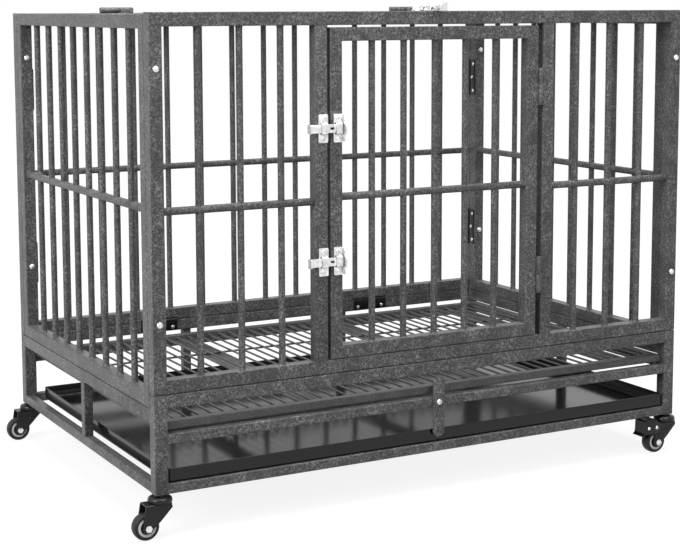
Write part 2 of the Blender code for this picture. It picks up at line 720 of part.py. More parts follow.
def build_tray():
    """Pull-out tray: a shallow sheet pan, open at the top."""
    top = TRAY_BOTTOM + TRAY_HEIGHT
    left, right = TRAY_SIDE, LENGTH - TRAY_SIDE
    sheet = TRAY_SHEET
    outside = box((left, TRAY_FRONT, TRAY_BOTTOM), (right, TRAY_BACK, top), 2.0 * sheet, Z_AXIS)
    low = (left + sheet, TRAY_FRONT + sheet, TRAY_BOTTOM + sheet)
    high = (right - sheet, TRAY_BACK - sheet, top + TRAY_HEIGHT)
    tray = combine(outside, [box(low, high, 2.0 * sheet, Z_AXIS)], "DIFFERENCE")
    place_piece("tray", tray, tray_enamel("tray"), (LENGTH / 2.0, TRAY_FRONT, TRAY_BOTTOM))


def build_lock_tab():
    """Turning tab on a pivot screw, hanging in front of the grid and the tray."""
    radius = TAB_WIDTH / 2.0
    steps = 6
    outline = []
    for i in range(steps + 1):
        angle = math.pi * i / steps
        outline.append((TAB_CENTRE + radius * math.cos(angle), TAB_TOP - radius + radius * math.sin(angle)))
    for i in range(steps + 1):
        angle = math.pi + math.pi * i / steps
        outline.append((TAB_CENTRE + radius * math.cos(angle), TAB_BOTTOM + radius + radius * math.sin(angle)))
    back = -TOUCH_GAP
    front = back - TAB_THICKNESS
    pivot = (TAB_CENTRE, 0.0, TAB_PIVOT)
    hole = cylinder(pivot, TAB_HOLE_RADIUS, front - TAB_THICKNESS, back + TAB_THICKNESS, Y_AXIS, 16)
    tab = combine(plate(outline, front, back, Y_AXIS), [hole], "DIFFERENCE")
    place_piece("lock_tab", tab, painted("lock_tab"), (TAB_CENTRE, back, TAB_PIVOT))
    head = front - TOUCH_GAP
    profile = [
        (0.0, head - TAB_HEAD_HEIGHT),
        (0.55 * TAB_HEAD_RADIUS, head - 0.85 * TAB_HEAD_HEIGHT),
        (0.90 * TAB_HEAD_RADIUS, head - 0.50 * TAB_HEAD_HEIGHT),
        (TAB_HEAD_RADIUS, head),
        (TAB_SCREW_RADIUS, head),
        (TAB_SCREW_RADIUS, back),
        (0.0, back),
    ]
    screw = lathe(profile, pivot, Y_AXIS, 16)
    place_piece("lock_tab_screw", screw, bright_zinc("lock_tab_screw"), (TAB_CENTRE, back, TAB_PIVOT), smooth=True)


def latch_guide():
    """Latch guide in slide, cross and outward directions: a plate, a raised bridge and two screw heads."""
    half = LATCH_GUIDE_WIDTH / 2.0
    side = LATCH_PLATE_HEIGHT / 2.0
    base = box((-half, -side, TOUCH_GAP), (half, side, LATCH_PLATE_TOP), TUBE_EDGE, Z_AXIS)
    narrow = LATCH_BRIDGE_WIDTH / 2.0
    low = LATCH_PLATE_TOP - TOUCH_GAP
    bridge = bridge_shape(-narrow, narrow, low)
    return combine(base, [bridge, screw_heads([(0.0, LATCH_SCREW_OFFSET), (0.0, -LATCH_SCREW_OFFSET)])])


def bridge_shape(start, end, low):
    """Return an arch over the latch bolt with slanted shoulders."""
    outer = LATCH_BRIDGE_HALF
    inner = LATCH_BOLT_HALF + RUN_CLEARANCE
    ceiling = LATCH_BOLT_TOP + RUN_CLEARANCE
    shoulder = TUBE_EDGE
    outline = [
        (-outer - shoulder, low),
        (-outer, ceiling - shoulder),
        (-outer + shoulder, LATCH_BRIDGE_TOP),
        (outer - shoulder, LATCH_BRIDGE_TOP),
        (outer, ceiling - shoulder),
        (outer + shoulder, low),
        (inner, low),
        (inner, ceiling),
        (-inner, ceiling),
        (-inner, low),
    ]
    return plate(outline, start, end, X_AXIS)


def screw_heads(spots):
    """Return low screw heads standing on a latch plate."""
    heads = []
    radius = LATCH_SCREW_RADIUS
    low = LATCH_PLATE_TOP - 2.0 * TOUCH_GAP
    for s, t in spots:
        profile = [
            (0.0, low),
            (radius, low),
            (radius, LATCH_PLATE_TOP + 0.4 * LATCH_SCREW_HEIGHT),
            (0.6 * radius, LATCH_PLATE_TOP + LATCH_SCREW_HEIGHT),
            (0.0, LATCH_PLATE_TOP + LATCH_SCREW_HEIGHT),
        ]
        heads.append(lathe(profile, (s, t, 0.0), Z_AXIS, 12))
    return joined(heads)


def latch_bolt():
    """Latch bolt: a flat bar with a padlock slot and a turned-out thumb piece at the back."""
    half = LATCH_BOLT_HALF
    start = LATCH_BOLT_BACK
    bar = box((start, -half, LATCH_BOLT_BOTTOM), (LATCH_BOLT_TIP, half, LATCH_BOLT_TOP), TUBE_EDGE / 2.0, Z_AXIS)
    wide = LATCH_THUMB_HALF
    thumb_end = start + LATCH_THUMB_THICKNESS
    thumb = box((start - WELD_STEP, -wide, LATCH_BOLT_BOTTOM - WELD_STEP), (thumb_end, wide, LATCH_THUMB_TOP))
    slot_half = LATCH_SLOT_LENGTH / 2.0
    slot = box(
        (LATCH_SLOT_CENTRE - slot_half, -LATCH_SLOT_HALF, -LATCH_BOLT_TOP),
        (LATCH_SLOT_CENTRE + slot_half, LATCH_SLOT_HALF, 2.0 * LATCH_BOLT_TOP),
    )
    return combine(combine(bar, [thumb]), [slot], "DIFFERENCE")


def latch_keeper(base_level, flange_top, flange_crest):
    """Latch keeper: a plate, a bridge over the bolt's tip and a standing flange at the far edge."""
    side = LATCH_PLATE_HEIGHT / 2.0
    start, end = LATCH_KEEPER_START, LATCH_KEEPER_END
    base = box((start, -side, base_level), (end, side, LATCH_PLATE_TOP), TUBE_EDGE, Z_AXIS)
    low = LATCH_PLATE_TOP - TOUCH_GAP
    bridge = bridge_shape(LATCH_KEEPER_BRIDGE_START, LATCH_KEEPER_BRIDGE_END, low)
    crest = LATCH_FLANGE_CREST_HALF
    reach = side - TUBE_EDGE
    outline = [
        (-reach, low),
        (-reach, flange_top - TUBE_EDGE),
        (-crest - TUBE_EDGE, flange_top),
        (-crest / 2.0, flange_crest),
        (crest / 2.0, flange_crest),
        (crest + TUBE_EDGE, flange_top),
        (reach, flange_top - TUBE_EDGE),
        (reach, low),
    ]
    flange = plate(outline, end - LATCH_FLANGE_THICKNESS - WELD_STEP, end - WELD_STEP, X_AXIS)
    middle = (start + end - LATCH_FLANGE_THICKNESS) / 2.0
    heads = screw_heads([(middle, LATCH_SCREW_OFFSET), (middle, -LATCH_SCREW_OFFSET)])
    return combine(base, [bridge, flange, heads])


def build_latch(name, frame_matrix, keeper):
    """Place a guide, a bolt and the given keeper by the transform from latch directions to the crate."""
    origin = frame_matrix.translation
    place_piece(f"{name}_guide", moved(latch_guide(), frame_matrix), bright_zinc(f"{name}_guide"), origin)
    place_piece(f"{name}_bolt", moved(latch_bolt(), frame_matrix), bright_zinc(f"{name}_bolt"), origin)
    place_piece(f"{name}_keeper", moved(keeper, frame_matrix), bright_zinc(f"{name}_keeper"), origin)


def build_latches():
    """Two latches beside the door, sliding along X, and one on the top, sliding along Y."""
    outwards = Matrix(((1, 0, 0), (0, 0, -1), (0, 1, 0))).to_4x4()
    for level, height in LATCH_LEVELS.items():
        matrix = Matrix.Translation((LATCH_GUIDE_CENTRE, 0.0, height)) @ outwards
        keeper = latch_keeper(TOUCH_GAP, LATCH_FLANGE_TOP, LATCH_FLANGE_CREST)
        build_latch(f"door_latch_{level}", matrix, keeper)
    upwards = Matrix(((0, -1, 0), (1, 0, 0), (0, 0, 1))).to_4x4()
    matrix = Matrix.Translation((LID_LATCH_X, TUBE / 2.0, FRONT_PANEL_HEIGHT)) @ upwards
    lid_face = LID_BOTTOM + LID_HEIGHT - FRONT_PANEL_HEIGHT
    build_latch("lid_latch", matrix, latch_keeper(lid_face + TOUCH_GAP, LID_FLANGE_TOP, LID_FLANGE_CREST))


def bolt_head(centre, face):
    """Return a round bolt head that stands towards -Y from an upright face."""
    rise = PANEL_BOLT_HEIGHT
    radius = PANEL_BOLT_RADIUS
    seat = face - TOUCH_GAP
    profile = [
        (0.0, seat - rise),
        (0.45 * radius, seat - 0.92 * rise),
        (0.78 * radius, seat - 0.65 * rise),
        (radius, seat - 0.15 * rise),
        (radius, seat),
        (0.0, seat),
    ]
    return lathe(profile, (centre[0], 0.0, centre[1]), Y_AXIS, 12)


def build_panel_bolts():
    """Bolt heads on the front posts and on the front faces of the side panels' rear posts."""
    rear_face = DEPTH - 2.0 * TUBE - TOUCH_GAP
    for side, x in (("left", TUBE / 2.0), ("right", LENGTH - TUBE / 2.0)):
        for row, face in (("front", 0.0), ("rear", rear_face)):
            for level, height in PANEL_BOLT_LEVELS.items():
                name = f"panel_bolt_{row}_{side}_{level}"
                place_piece(name, bolt_head((x, height), face), bright_zinc(name), (x, face, height), smooth=True)


def butt_hinge(first_leaf, second_leaf, length):
    """Return a flat open butt hinge along Z: leaves to -X and +X in the XZ plane, facing -Y."""
    sheet = BUTT_SHEET
    half = length / 2.0
    leaves = box((-first_leaf, -sheet, -half), (second_leaf, 0.0, half), TUBE_EDGE, Y_AXIS)
    knuckle = cylinder((0.0, -sheet / 2.0 - WELD_STEP, 0.0), BUTT_KNUCKLE_RADIUS, -half, half, Z_AXIS, 10)
    knuckle_cut = box((-length, 0.0, -length), (length, length, length))
    heads = []
    for leaf, direction in ((first_leaf, -1.0), (second_leaf, 1.0)):
        if leaf < BUTT_LEAF:
            continue
        for i in (-1, 0, 1):
            spot = direction * (leaf * 0.6 + (BUTT_SCREW_STAGGER if i else -BUTT_SCREW_STAGGER) / 2.0)
            profile = [
                (0.0, -sheet - BUTT_SCREW_HEIGHT),
                (0.6 * BUTT_SCREW_RADIUS, -sheet - 0.8 * BUTT_SCREW_HEIGHT),
                (BUTT_SCREW_RADIUS, -sheet + TOUCH_GAP),
                (0.0, -sheet + TOUCH_GAP),
            ]
            heads.append(lathe(profile, (spot, 0.0, i * BUTT_SCREW_PITCH), Y_AXIS, 8))
    knuckle = combine(knuckle, [knuckle_cut], "DIFFERENCE")
    return combine(leaves, [knuckle, joined(heads)])


def build_butt_hinges():
    """Black hinges inside the back corners and between the base and the back panel."""
    fold_y = DEPTH - TUBE
    for side, face_x, turn in (("left", TUBE + TOUCH_GAP, 90.0), ("right", LENGTH - TUBE - TOUCH_GAP, -90.0)):
        for level, height in BUTT_LEVELS.items():
            matrix = Matrix.Translation((face_x, fold_y, height)) @ Matrix.Rotation(math.radians(turn), 4, "Z")
            name = f"corner_hinge_{side}_{level}"
            place_piece(name, moved(butt_hinge(BUTT_LEAF, BUTT_LEAF, BUTT_HEIGHT), matrix), black_steel(name))
    seam = SIDE_PANEL_BOTTOM - BASE_SEAM / 2.0
    for side, x in BASE_BUTT_CENTRES.items():
        shape = butt_hinge(BUTT_LEAF, BASE_BUTT_UPPER_LEAF, BUTT_HEIGHT)
        matrix = Matrix.Translation((x, fold_y - TOUCH_GAP, seam)) @ Matrix.Rotation(math.radians(-90.0), 4, "Y")
        name = f"base_hinge_{side}"
        place_piece(name, moved(shape, matrix), black_steel(name))


def castor_cap(centre):
    """Return the turned bearing cup under a post."""
    top = BASE_BOTTOM - TOUCH_GAP
    bottom = CASTOR_CAP_BOTTOM
    radius = CASTOR_CAP_RADIUS
    drop = top - bottom
    profile = [
        (0.0, top),
        (CASTOR_NECK_RADIUS, top),
        (CASTOR_NECK_RADIUS, top - 0.18 * drop),
        (0.80 * radius, top - 0.25 * drop),
        (0.96 * radius, top - 0.45 * drop),
        (radius, top - 0.65 * drop),
        (radius, bottom + 0.05 * drop),
        (0.95 * radius, bottom),
        (0.0, bottom),
    ]
    return lathe(profile, (centre[0], centre[1], 0.0), Z_AXIS, CASTOR_SIDES)


def castor_fork(centre):
    """Return the folded fork: a top plate and two side plates that narrow to the axle."""
    x, y = centre
    top = CASTOR_CAP_BOTTOM - TOUCH_GAP
    axle_x, axle_z = x - CASTOR_TRAIL, FLOOR_LEVEL + WHEEL_RADIUS
    radius = FORK_END_RADIUS
    outline = [
        (x + FORK_BACK, top),
        (x + FORK_FRONT, top),
        (x + FORK_FRONT + 0.0015, top - 0.004),
        (x - 0.0035, top - 0.0255),
    ]
    for degrees in (-15.0, -40.0, -65.0, -90.0, -115.0, -140.0, -165.0, -190.0):
        angle = math.radians(degrees)
        outline.append((axle_x + radius * math.cos(angle), axle_z + radius * math.sin(angle)))
    solid = plate(outline, y - FORK_HALF_WIDTH, y + FORK_HALF_WIDTH, Y_AXIS)
    inside = FORK_HALF_WIDTH - FORK_SHEET
    space = box((x - TUBE * 3.0, y - inside, axle_z - TUBE), (x + TUBE * 3.0, y + inside, top - FORK_SHEET))
    reach = FORK_HALF_WIDTH + FORK_SHEET
    hole = cylinder((axle_x, y, axle_z), AXLE_BORE_RADIUS, y - reach, y + reach, Y_AXIS, 16)
    return combine(solid, [space, hole], "DIFFERENCE")


def castor_wheel(centre):
    """Return the wheel: rounded tyre, sunk ring groove, hub and bore."""
    x, y = centre
    axle = (x - CASTOR_TRAIL, y, FLOOR_LEVEL + WHEEL_RADIUS)
    half = WHEEL_HALF_WIDTH
    radius = WHEEL_RADIUS
    side = [
        (AXLE_BORE_RADIUS, half),
        (WHEEL_HUB_RADIUS, half),
        (WHEEL_HUB_RADIUS, 0.80 * half),
        (WHEEL_RING_INNER, 0.80 * half),
        (WHEEL_RING_INNER, 0.93 * half),
        (WHEEL_RING_OUTER, 0.93 * half),
        (0.88 * radius, 0.90 * half),
        (0.97 * radius, 0.62 * half),
        (radius, 0.25 * half),
    ]
    profile = side + [(r, -h) for r, h in reversed(side)]
    profile.append(profile[0])
    return lathe(profile, axle, Y_AXIS, CASTOR_SIDES)


def castor_axle(centre):
    """Return the axle bolt: hexagon head towards the front, plain shank and hexagon nut behind."""
    x, y = centre
    axle_x, axle_z = x - CASTOR_TRAIL, FLOOR_LEVEL + WHEEL_RADIUS
    spot = (axle_x, y, axle_z)
    start = y - FORK_HALF_WIDTH - TOUCH_GAP
    end = y + FORK_HALF_WIDTH + TOUCH_GAP
    bite = TOUCH_GAP
    shank = cylinder(spot, AXLE_RADIUS, start - bite, end + bite, Y_AXIS, 16)
    head = cylinder(spot, AXLE_HEX_RADIUS, start - AXLE_HEAD_HEIGHT, start, Y_AXIS, 6)
    nut = cylinder(spot, AXLE_HEX_RADIUS, end, end + AXLE_HEAD_HEIGHT, Y_AXIS, 6)
    return combine(shank, [head, nut])


def brake_pedal(centre):
    """Return the brake pedal: two ears outside the fork, a short roof and an end plate with a flared lip."""
    x, y = centre
    sheet = PEDAL_SHEET
    outer = FORK_HALF_WIDTH + TOUCH_GAP + sheet
    end = x + PEDAL_END_X
    ear = [
        (end, PEDAL_TOP),
        (x + PEDAL_PIVOT_X - 0.001, PEDAL_TOP),
        (x + PEDAL_PIVOT_X + 0.007, PEDAL_PIVOT_Z + 0.006),
        (x + PEDAL_PIVOT_X + 0.008, PEDAL_PIVOT_Z - 0.004),
        (x + PEDAL_PIVOT_X, PEDAL_EAR_BOTTOM),
        (x + PEDAL_LIP_X, PEDAL_LIP_Z + 0.001),
        (x + PEDAL_LIP_X, PEDAL_LIP_Z + 0.001 + sheet),
        (end - 0.001, PEDAL_EAR_BOTTOM + sheet),
    ]
    solid = plate(ear, y - outer, y + outer, Y_AXIS)
    inside = outer - sheet
    low_x = end + sheet
    space = box((low_x, y - inside, PEDAL_LIP_Z - TUBE), (x + TUBE, y + inside, PEDAL_TOP - sheet))
    below = plate(
        [
            (x + PEDAL_PIVOT_X + TUBE, PEDAL_EAR_BOTTOM - TOUCH_GAP),
            (end + sheet, PEDAL_EAR_BOTTOM - TOUCH_GAP),
            (x + PEDAL_LIP_X - TUBE, PEDAL_LIP_Z - TUBE / 2.0),
            (x + PEDAL_PIVOT_X + TUBE, PEDAL_LIP_Z - TUBE),
        ],
        y - outer - sheet,
        y + outer + sheet,
        Y_AXIS,
    )
    shell = combine(solid, [space, below], "DIFFERENCE")
    rivets = []
    for rivet_x in (PEDAL_PIVOT_X, PEDAL_SECOND_RIVET_X):
        for side in (-1.0, 1.0):
            face = side * (outer - TOUCH_GAP)
            tip = side * (outer + PEDAL_RIVET_HEIGHT)
            spot = (x + rivet_x, y, PEDAL_PIVOT_Z)
            low, high = sorted((y + face, y + tip))
            rivets.append(cylinder(spot, PEDAL_RIVET_RADIUS, low, high, Y_AXIS, 10))
    return combine(shell, [joined(rivets)])


def build_castors():
    """Four castors: cup, fork, wheel and axle bolt, and a brake pedal on the right-hand pair."""
    middle = TUBE / 2.0
    corners = {
        "front_left": (middle, middle),
        "front_right": (LENGTH - middle, middle),
        "rear_left": (middle, DEPTH - middle),
        "rear_right": (LENGTH - middle, DEPTH - middle),
    }
    for corner, centre in corners.items():
        x, y = centre
        swivel = (x, y, CASTOR_CAP_BOTTOM)
        axle = (x - CASTOR_TRAIL, y, FLOOR_LEVEL + WHEEL_RADIUS)
        name = f"castor_{corner}"
        place_piece(f"{name}_cap", castor_cap(centre), black_steel(f"{name}_cap"), swivel, smooth=True)
        place_piece(f"{name}_fork", castor_fork(centre), black_steel(f"{name}_fork"), swivel)
        place_piece(f"{name}_wheel", castor_wheel(centre), black_rubber(f"{name}_wheel"), axle, smooth=True)
        place_piece(f"{name}_axle", castor_axle(centre), bright_zinc(f"{name}_axle"), axle)
        if corner.endswith("right"):
            pivot = (x + PEDAL_PIVOT_X, y, PEDAL_PIVOT_Z)
            place_piece(f"{name}_brake", brake_pedal(centre), black_steel(f"{name}_brake"), pivot)


def stand_on_origin():
    """Move the root so that the crate's footprint is centred on the origin and its wheels stand at zero."""
    bpy.context.view_layer.update()
    corners = [piece.matrix_world @ Vector(corner) for piece in PARTS.objects for corner in piece.bound_box]
    low = [min(c[i] for c in corners) for i in range(3)]
    high = [max(c[i] for c in corners) for i in range(3)]
    ROOT.location = (-(low[0] + high[0]) / 2.0, -(low[1] + high[1]) / 2.0, -low[2])
    bpy.context.view_layer.update()


clear_scene()
PARTS = make_collection("dog_crate")
ROOT = bpy.data.objects.new("dog_crate_root", None)
bpy.context.scene.collection.objects.link(ROOT)

build_front_panel()
build_back_panel()
build_side_panel("left_panel", 0.0)
build_side_panel("right_panel", LENGTH - TUBE)
build_front_door()
build_door_hinges()
build_top_lid()
build_lid_hinges()
build_base_frame()
build_floor_grid()
build_tray()
build_lock_tab()
build_latches()
build_panel_bolts()
build_butt_hinges()
build_castors()
stand_on_origin()
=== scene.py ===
"""Finished looks of a steel dog crate on castors, standing in a plain pale studio.

Lengths are in metres. Shapes are worked out in crate positions: X runs along
the front from the left end, Y runs back from the front face and Z is measured
from the lower edge of the front panel. CORNER carries them to the frame that
the CAD stands in.
"""

import json
import math

import bpy
import numpy as np
from bpy.props import FloatProperty, FloatVectorProperty, IntProperty, PointerProperty
from bpy.types import Operator, Panel, PropertyGroup
from mathutils import Matrix, Vector


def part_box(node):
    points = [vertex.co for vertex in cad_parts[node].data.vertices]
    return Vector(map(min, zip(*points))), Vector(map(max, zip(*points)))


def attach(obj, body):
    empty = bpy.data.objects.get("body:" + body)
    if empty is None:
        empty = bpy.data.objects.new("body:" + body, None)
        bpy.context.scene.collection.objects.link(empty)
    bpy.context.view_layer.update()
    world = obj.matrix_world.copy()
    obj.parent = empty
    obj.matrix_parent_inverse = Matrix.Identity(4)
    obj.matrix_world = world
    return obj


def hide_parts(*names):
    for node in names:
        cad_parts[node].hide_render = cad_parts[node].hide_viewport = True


bl_info = {
    "name": "Dog Crate on Castors",
    "version": (1, 0, 0),
    "blender": (4, 5, 0),
    "location": "View3D > Sidebar > Dog Crate",
    "description": "Makes the finished pieces of a steel dog crate and the plain stage it stands on",
    "category": "Object",
}

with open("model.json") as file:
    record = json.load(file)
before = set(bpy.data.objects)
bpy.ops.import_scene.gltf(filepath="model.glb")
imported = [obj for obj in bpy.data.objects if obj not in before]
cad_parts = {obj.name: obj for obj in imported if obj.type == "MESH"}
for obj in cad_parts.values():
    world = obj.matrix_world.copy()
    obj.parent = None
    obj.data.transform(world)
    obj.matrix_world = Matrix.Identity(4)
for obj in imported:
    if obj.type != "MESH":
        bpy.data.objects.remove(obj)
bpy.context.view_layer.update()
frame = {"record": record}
CORNER = np.array(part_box("front_panel")[0])
BODY_OF = {node: body for body, nodes in frame["record"]["behaviour"]["bodies"].items() for node in nodes}
X_AXIS, Y_AXIS, Z_AXIS = 0, 1, 2
SMOOTH_ANGLE = math.radians(35.0)


def span(node):
    """Return the lowest and highest corner of a CAD node in crate positions."""
    low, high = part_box(node)
    return np.array(low) - CORNER, np.array(high) - CORNER


LENGTH = span("front_panel")[1][0]
DEPTH = span("back_panel")[1][1]
CORNERS = ("front_left", "front_right", "rear_left", "rear_right")

# Heights of the level rails, tops of the base rails and places of the members between them
RAIL_LEVELS = {
    "front_panel": 0.2585,
    "back_panel": 0.2575,
    "left_panel": 0.2595,
    "right_panel": 0.2595,
    "front_door": 0.2632,
}
BAR_COUNTS = {"back_panel": 13, "left_panel": 8, "right_panel": 8, "front_door": 5, "top_lid": 13}
LEFT_JAMB = 0.2577
RIGHT_JAMB = 0.6628
FRONT_BARS = (0.076, 0.141, 0.206)
BASE_BOTTOM = -0.145
BASE_FRONT_TOP = -0.0008
BASE_SIDE_TOP = -0.0228
BASE_MID_TOP = -0.058
SIDE_STRUT = 0.297
BACK_STRUTS = (0.300, 0.625)
RUNNER_WIDTH = 0.015
RUNNER_LOW = -0.0600
RUNNER_TOP = -0.0543
GRID_WIRE_LEVEL = -0.0465
GRID_CROSS_LEVEL = -0.0494
GRID_CROSS_FROM_ENDS = 0.150
GRID_STRAPS = (0.278, 0.588, 0.858)
GRID_STRAP_WIDTH = 0.040

# How far bars, level rails, the base's tubes and the floor's wires reach into the tube that holds them
BAR_BITE, RAIL_BITE, TUBE_BITE, WIRE_BITE = 0.0003, 0.001, 0.0015, 0.002
RAIL_ROUNDING = 0.0042


class CrateSizes(PropertyGroup):
    """Sizes of the stock and of the small parts."""

    tube: FloatProperty(
        name="Tube", description="Width of the square tube", default=0.020, unit="LENGTH"
    )
    small_tube: FloatProperty(
        name="Small tube",
        description="Width of the square tube low in the base",
        default=0.015,
        unit="LENGTH",
    )
    tube_rounding: FloatProperty(
        name="Tube rounding", description="Run of the rounded edge of a tube", default=0.0017, unit="LENGTH"
    )
    bar: FloatProperty(name="Bar", description="Diameter of the round bars", default=0.010, unit="LENGTH")
    weld: FloatProperty(
        name="Weld",
        description="How far the weld stands out round a bar's end",
        default=0.0011,
        unit="LENGTH",
    )
    rail_height: FloatProperty(
        name="Rail height", description="Height of the level rails", default=0.011, unit="LENGTH"
    )
    rail_depth: FloatProperty(
        name="Rail depth",
        description="Depth of the level rails across the bars",
        default=0.0124,
        unit="LENGTH",
    )
    wire: FloatProperty(name="Wire", description="Diameter of the floor wires", default=0.0036, unit="LENGTH")
    wire_pitch: FloatProperty(
        name="Wire pitch", description="Distance from wire to wire", default=0.0203, unit="LENGTH"
    )
    wire_count: IntProperty(name="Wires", description="Number of long floor wires", default=43)
    tray_sheet: FloatProperty(
        name="Tray sheet", description="Thickness of the tray's sheet", default=0.0015, unit="LENGTH"
    )
    ring_width: FloatProperty(
        name="Wheel ring", description="Width of the pale ring in each wheel", default=0.0038, unit="LENGTH"
    )


class CrateColours(PropertyGroup):
    """Colours of the finishes."""

    paint: FloatVectorProperty(
        name="Hammered paint",
        description="Grey of the panels, the door, the lid and the base",
        subtype="COLOR",
        default=(0.062, 0.063, 0.064),
    )
    paint_crackle: FloatVectorProperty(
        name="Paint crackle",
        description="Lighter grey of the veins in the hammered paint",
        subtype="COLOR",
        default=(0.30, 0.302, 0.305),
    )
    grid: FloatVectorProperty(
        name="Floor paint",
        description="Grey of the floor grid",
        subtype="COLOR",
        default=(0.115, 0.117, 0.12),
    )
    enamel: FloatVectorProperty(
        name="Tray enamel",
        description="Black of the tray",
        subtype="COLOR",
        default=(0.006, 0.006, 0.007),
    )
    zinc: FloatVectorProperty(
        name="Zinc",
        description="Plating of the latches, bolts and screws",
        subtype="COLOR",
        default=(0.74, 0.74, 0.73),
    )
    black_steel: FloatVectorProperty(
        name="Black steel",
        description="Finish of the castors and hinges",
        subtype="COLOR",
        default=(0.010, 0.010, 0.011),
    )
    rubber: FloatVectorProperty(
        name="Rubber",
        description="Dark grey of the wheels",
        subtype="COLOR",
        default=(0.022, 0.022, 0.023),
    )
    ring: FloatVectorProperty(
        name="Wheel ring",
        description="White of the ring in each wheel",
        subtype="COLOR",
        default=(0.78, 0.78, 0.77),
    )


class StageSettings(PropertyGroup):
    """Floor, lamps and camera."""

    floor_size: FloatProperty(
        name="Floor", description="Side of the square floor", default=24.0, unit="LENGTH"
    )
    floor_shade: FloatProperty(name="Floor shade", description="How pale the floor is", default=0.17)
    floor_lift: FloatProperty(
        name="Floor lift", description="White that the camera sees added to the floor", default=0.88
    )
    sky_light: FloatProperty(
        name="Sky light", description="Strength of the even light all round", default=0.07
    )
    key_power: FloatProperty(
        name="Key lamp", description="Power of the lamp left of the crate", default=118.0, unit="POWER"
    )
    top_power: FloatProperty(
        name="Top lamp", description="Power of the lamp above the crate", default=135.0, unit="POWER"
    )
    front_power: FloatProperty(
        name="Front lamp", description="Power of the lamp in front of the crate", default=12.5, unit="POWER"
    )
    lens: FloatProperty(name="Lens", description="Focal length", default=83.35, subtype="DISTANCE_CAMERA")
    shift: FloatProperty(name="Shift", description="Vertical lens shift", default=-0.12)


# Surfaces


def other_axes(axis):
    """Return the numbers of the two axes across an axis."""
    return [i for i in range(3) if i != axis]


def grid_quads(rows, columns, loop_rows):
    """Return the four-sided faces of a grid whose columns close on themselves, and its rows if asked."""
    steps = rows if loop_rows else rows - 1
    row, column = np.meshgrid(np.arange(steps), np.arange(columns), indexing="ij")
    below = (row + 1) % rows
    beside = (column + 1) % columns
    here, there = row * columns, below * columns
    faces = [here + column, here + beside, there + beside, there + column]
    return np.stack(faces, -1).reshape(-1, 4)


def outward(points, quads, triangles):
    """Turn every face round if the volume they close, a sixth of the sum of a . (b x c), is negative."""
    corners = np.vstack([quads[:, [0, 1, 2]], quads[:, [0, 2, 3]], triangles])
    a, b, c = (points[corners[:, i]] for i in range(3))
    if (a * np.cross(b, c)).sum() < 0.0:
        return points, quads[:, ::-1], triangles[:, ::-1]
    return points, quads, triangles


def skin(grid, loop_rows=False):
    """Return the closed surface over rings of points, joined in order, with ends closed to their middles."""
    rows, columns = grid.shape[:2]
    points = grid.reshape(-1, 3)
    triangles = np.zeros((0, 3), int)
    if not loop_rows:
        column = np.arange(columns)
        beside = (column + 1) % columns
        last = (rows - 1) * columns
        near = np.stack([np.full(columns, rows * columns), beside, column], -1)
        far = np.stack([np.full(columns, rows * columns + 1), last + column, last + beside], -1)
        triangles = np.vstack([near, far])
        points = np.vstack([points, grid[0].mean(0), grid[-1].mean(0)])
    return outward(points, grid_quads(rows, columns, loop_rows), triangles)


def eased(corners, reach, steps=6, closed=True):
    """Round a line of points: each corner P gives way to (1-s)^2 A + 2s(1-s) P + s^2 B, with A and B
    `reach` before and after it, but at most 0.38 of the run there. One more point, 1.25 times as far,
    on each side keeps the flats flat."""
    most, beyond = 0.38, 1.25
    points = np.asarray(corners, float)
    before = np.roll(points, 1, 0) - points
    after = np.roll(points, -1, 0) - points
    before_length = np.maximum(np.linalg.norm(before, axis=1, keepdims=True), 1e-9)
    after_length = np.maximum(np.linalg.norm(after, axis=1, keepdims=True), 1e-9)
    a_reach = np.minimum(reach, most * before_length)
    b_reach = np.minimum(reach, most * after_length)
    a = points + before / before_length * a_reach
    b = points + after / after_length * b_reach
    s = np.linspace(0.0, 1.0, steps)[None, :, None]
    arc = (1 - s) ** 2 * a[:, None] + 2 * s * (1 - s) * points[:, None] + s**2 * b[:, None]
    lead = (points + before / before_length * a_reach * beyond)[:, None]
    tail = (points + after / after_length * b_reach * beyond)[:, None]
    rounded = np.concatenate([lead, arc, tail], 1)
    if closed:
        return rounded.reshape(-1, points.shape[1])
    return np.vstack([points[:1], rounded[1:-1].reshape(-1, points.shape[1]), points[-1:]])


def inset(outline, distance):
    """Move a closed outline's points inwards along the mitre (n1 + n2) / (1 + n1 . n2) of their edges,
    whose divisor is held at 0.3 where a corner is sharp."""
    least = 0.3
    run = np.roll(outline, -1, 0) - outline
    run = run / np.maximum(np.linalg.norm(run, axis=1, keepdims=True), 1e-12)
    x, y = outline[:, 0], outline[:, 1]
    turn = np.sign((x * np.roll(y, -1) - np.roll(x, -1) * y).sum())
    normal = np.stack([run[:, 1], -run[:, 0]], -1) * turn
    previous = np.roll(normal, 1, 0)
    mitre = (normal + previous) / np.maximum(1.0 + (normal * previous).sum(1, keepdims=True), least)
    return outline - distance * mitre


def rectangle(low, high):
    """Return the four corners of an upright rectangle in order."""
    return [(low[0], low[1]), (high[0], low[1]), (high[0], high[1]), (low[0], high[1])]


def standing(outline, levels, axis):
    """Lift outlines of two numbers to points, each outline at its level along the axis."""
    first, second = other_axes(axis)
    grid = np.zeros((len(outline), len(outline[0]), 3))
    grid[..., first] = [line[:, 0] for line in outline]
    grid[..., second] = [line[:, 1] for line in outline]
    grid[..., axis] = np.asarray(levels)[:, None]
    return grid


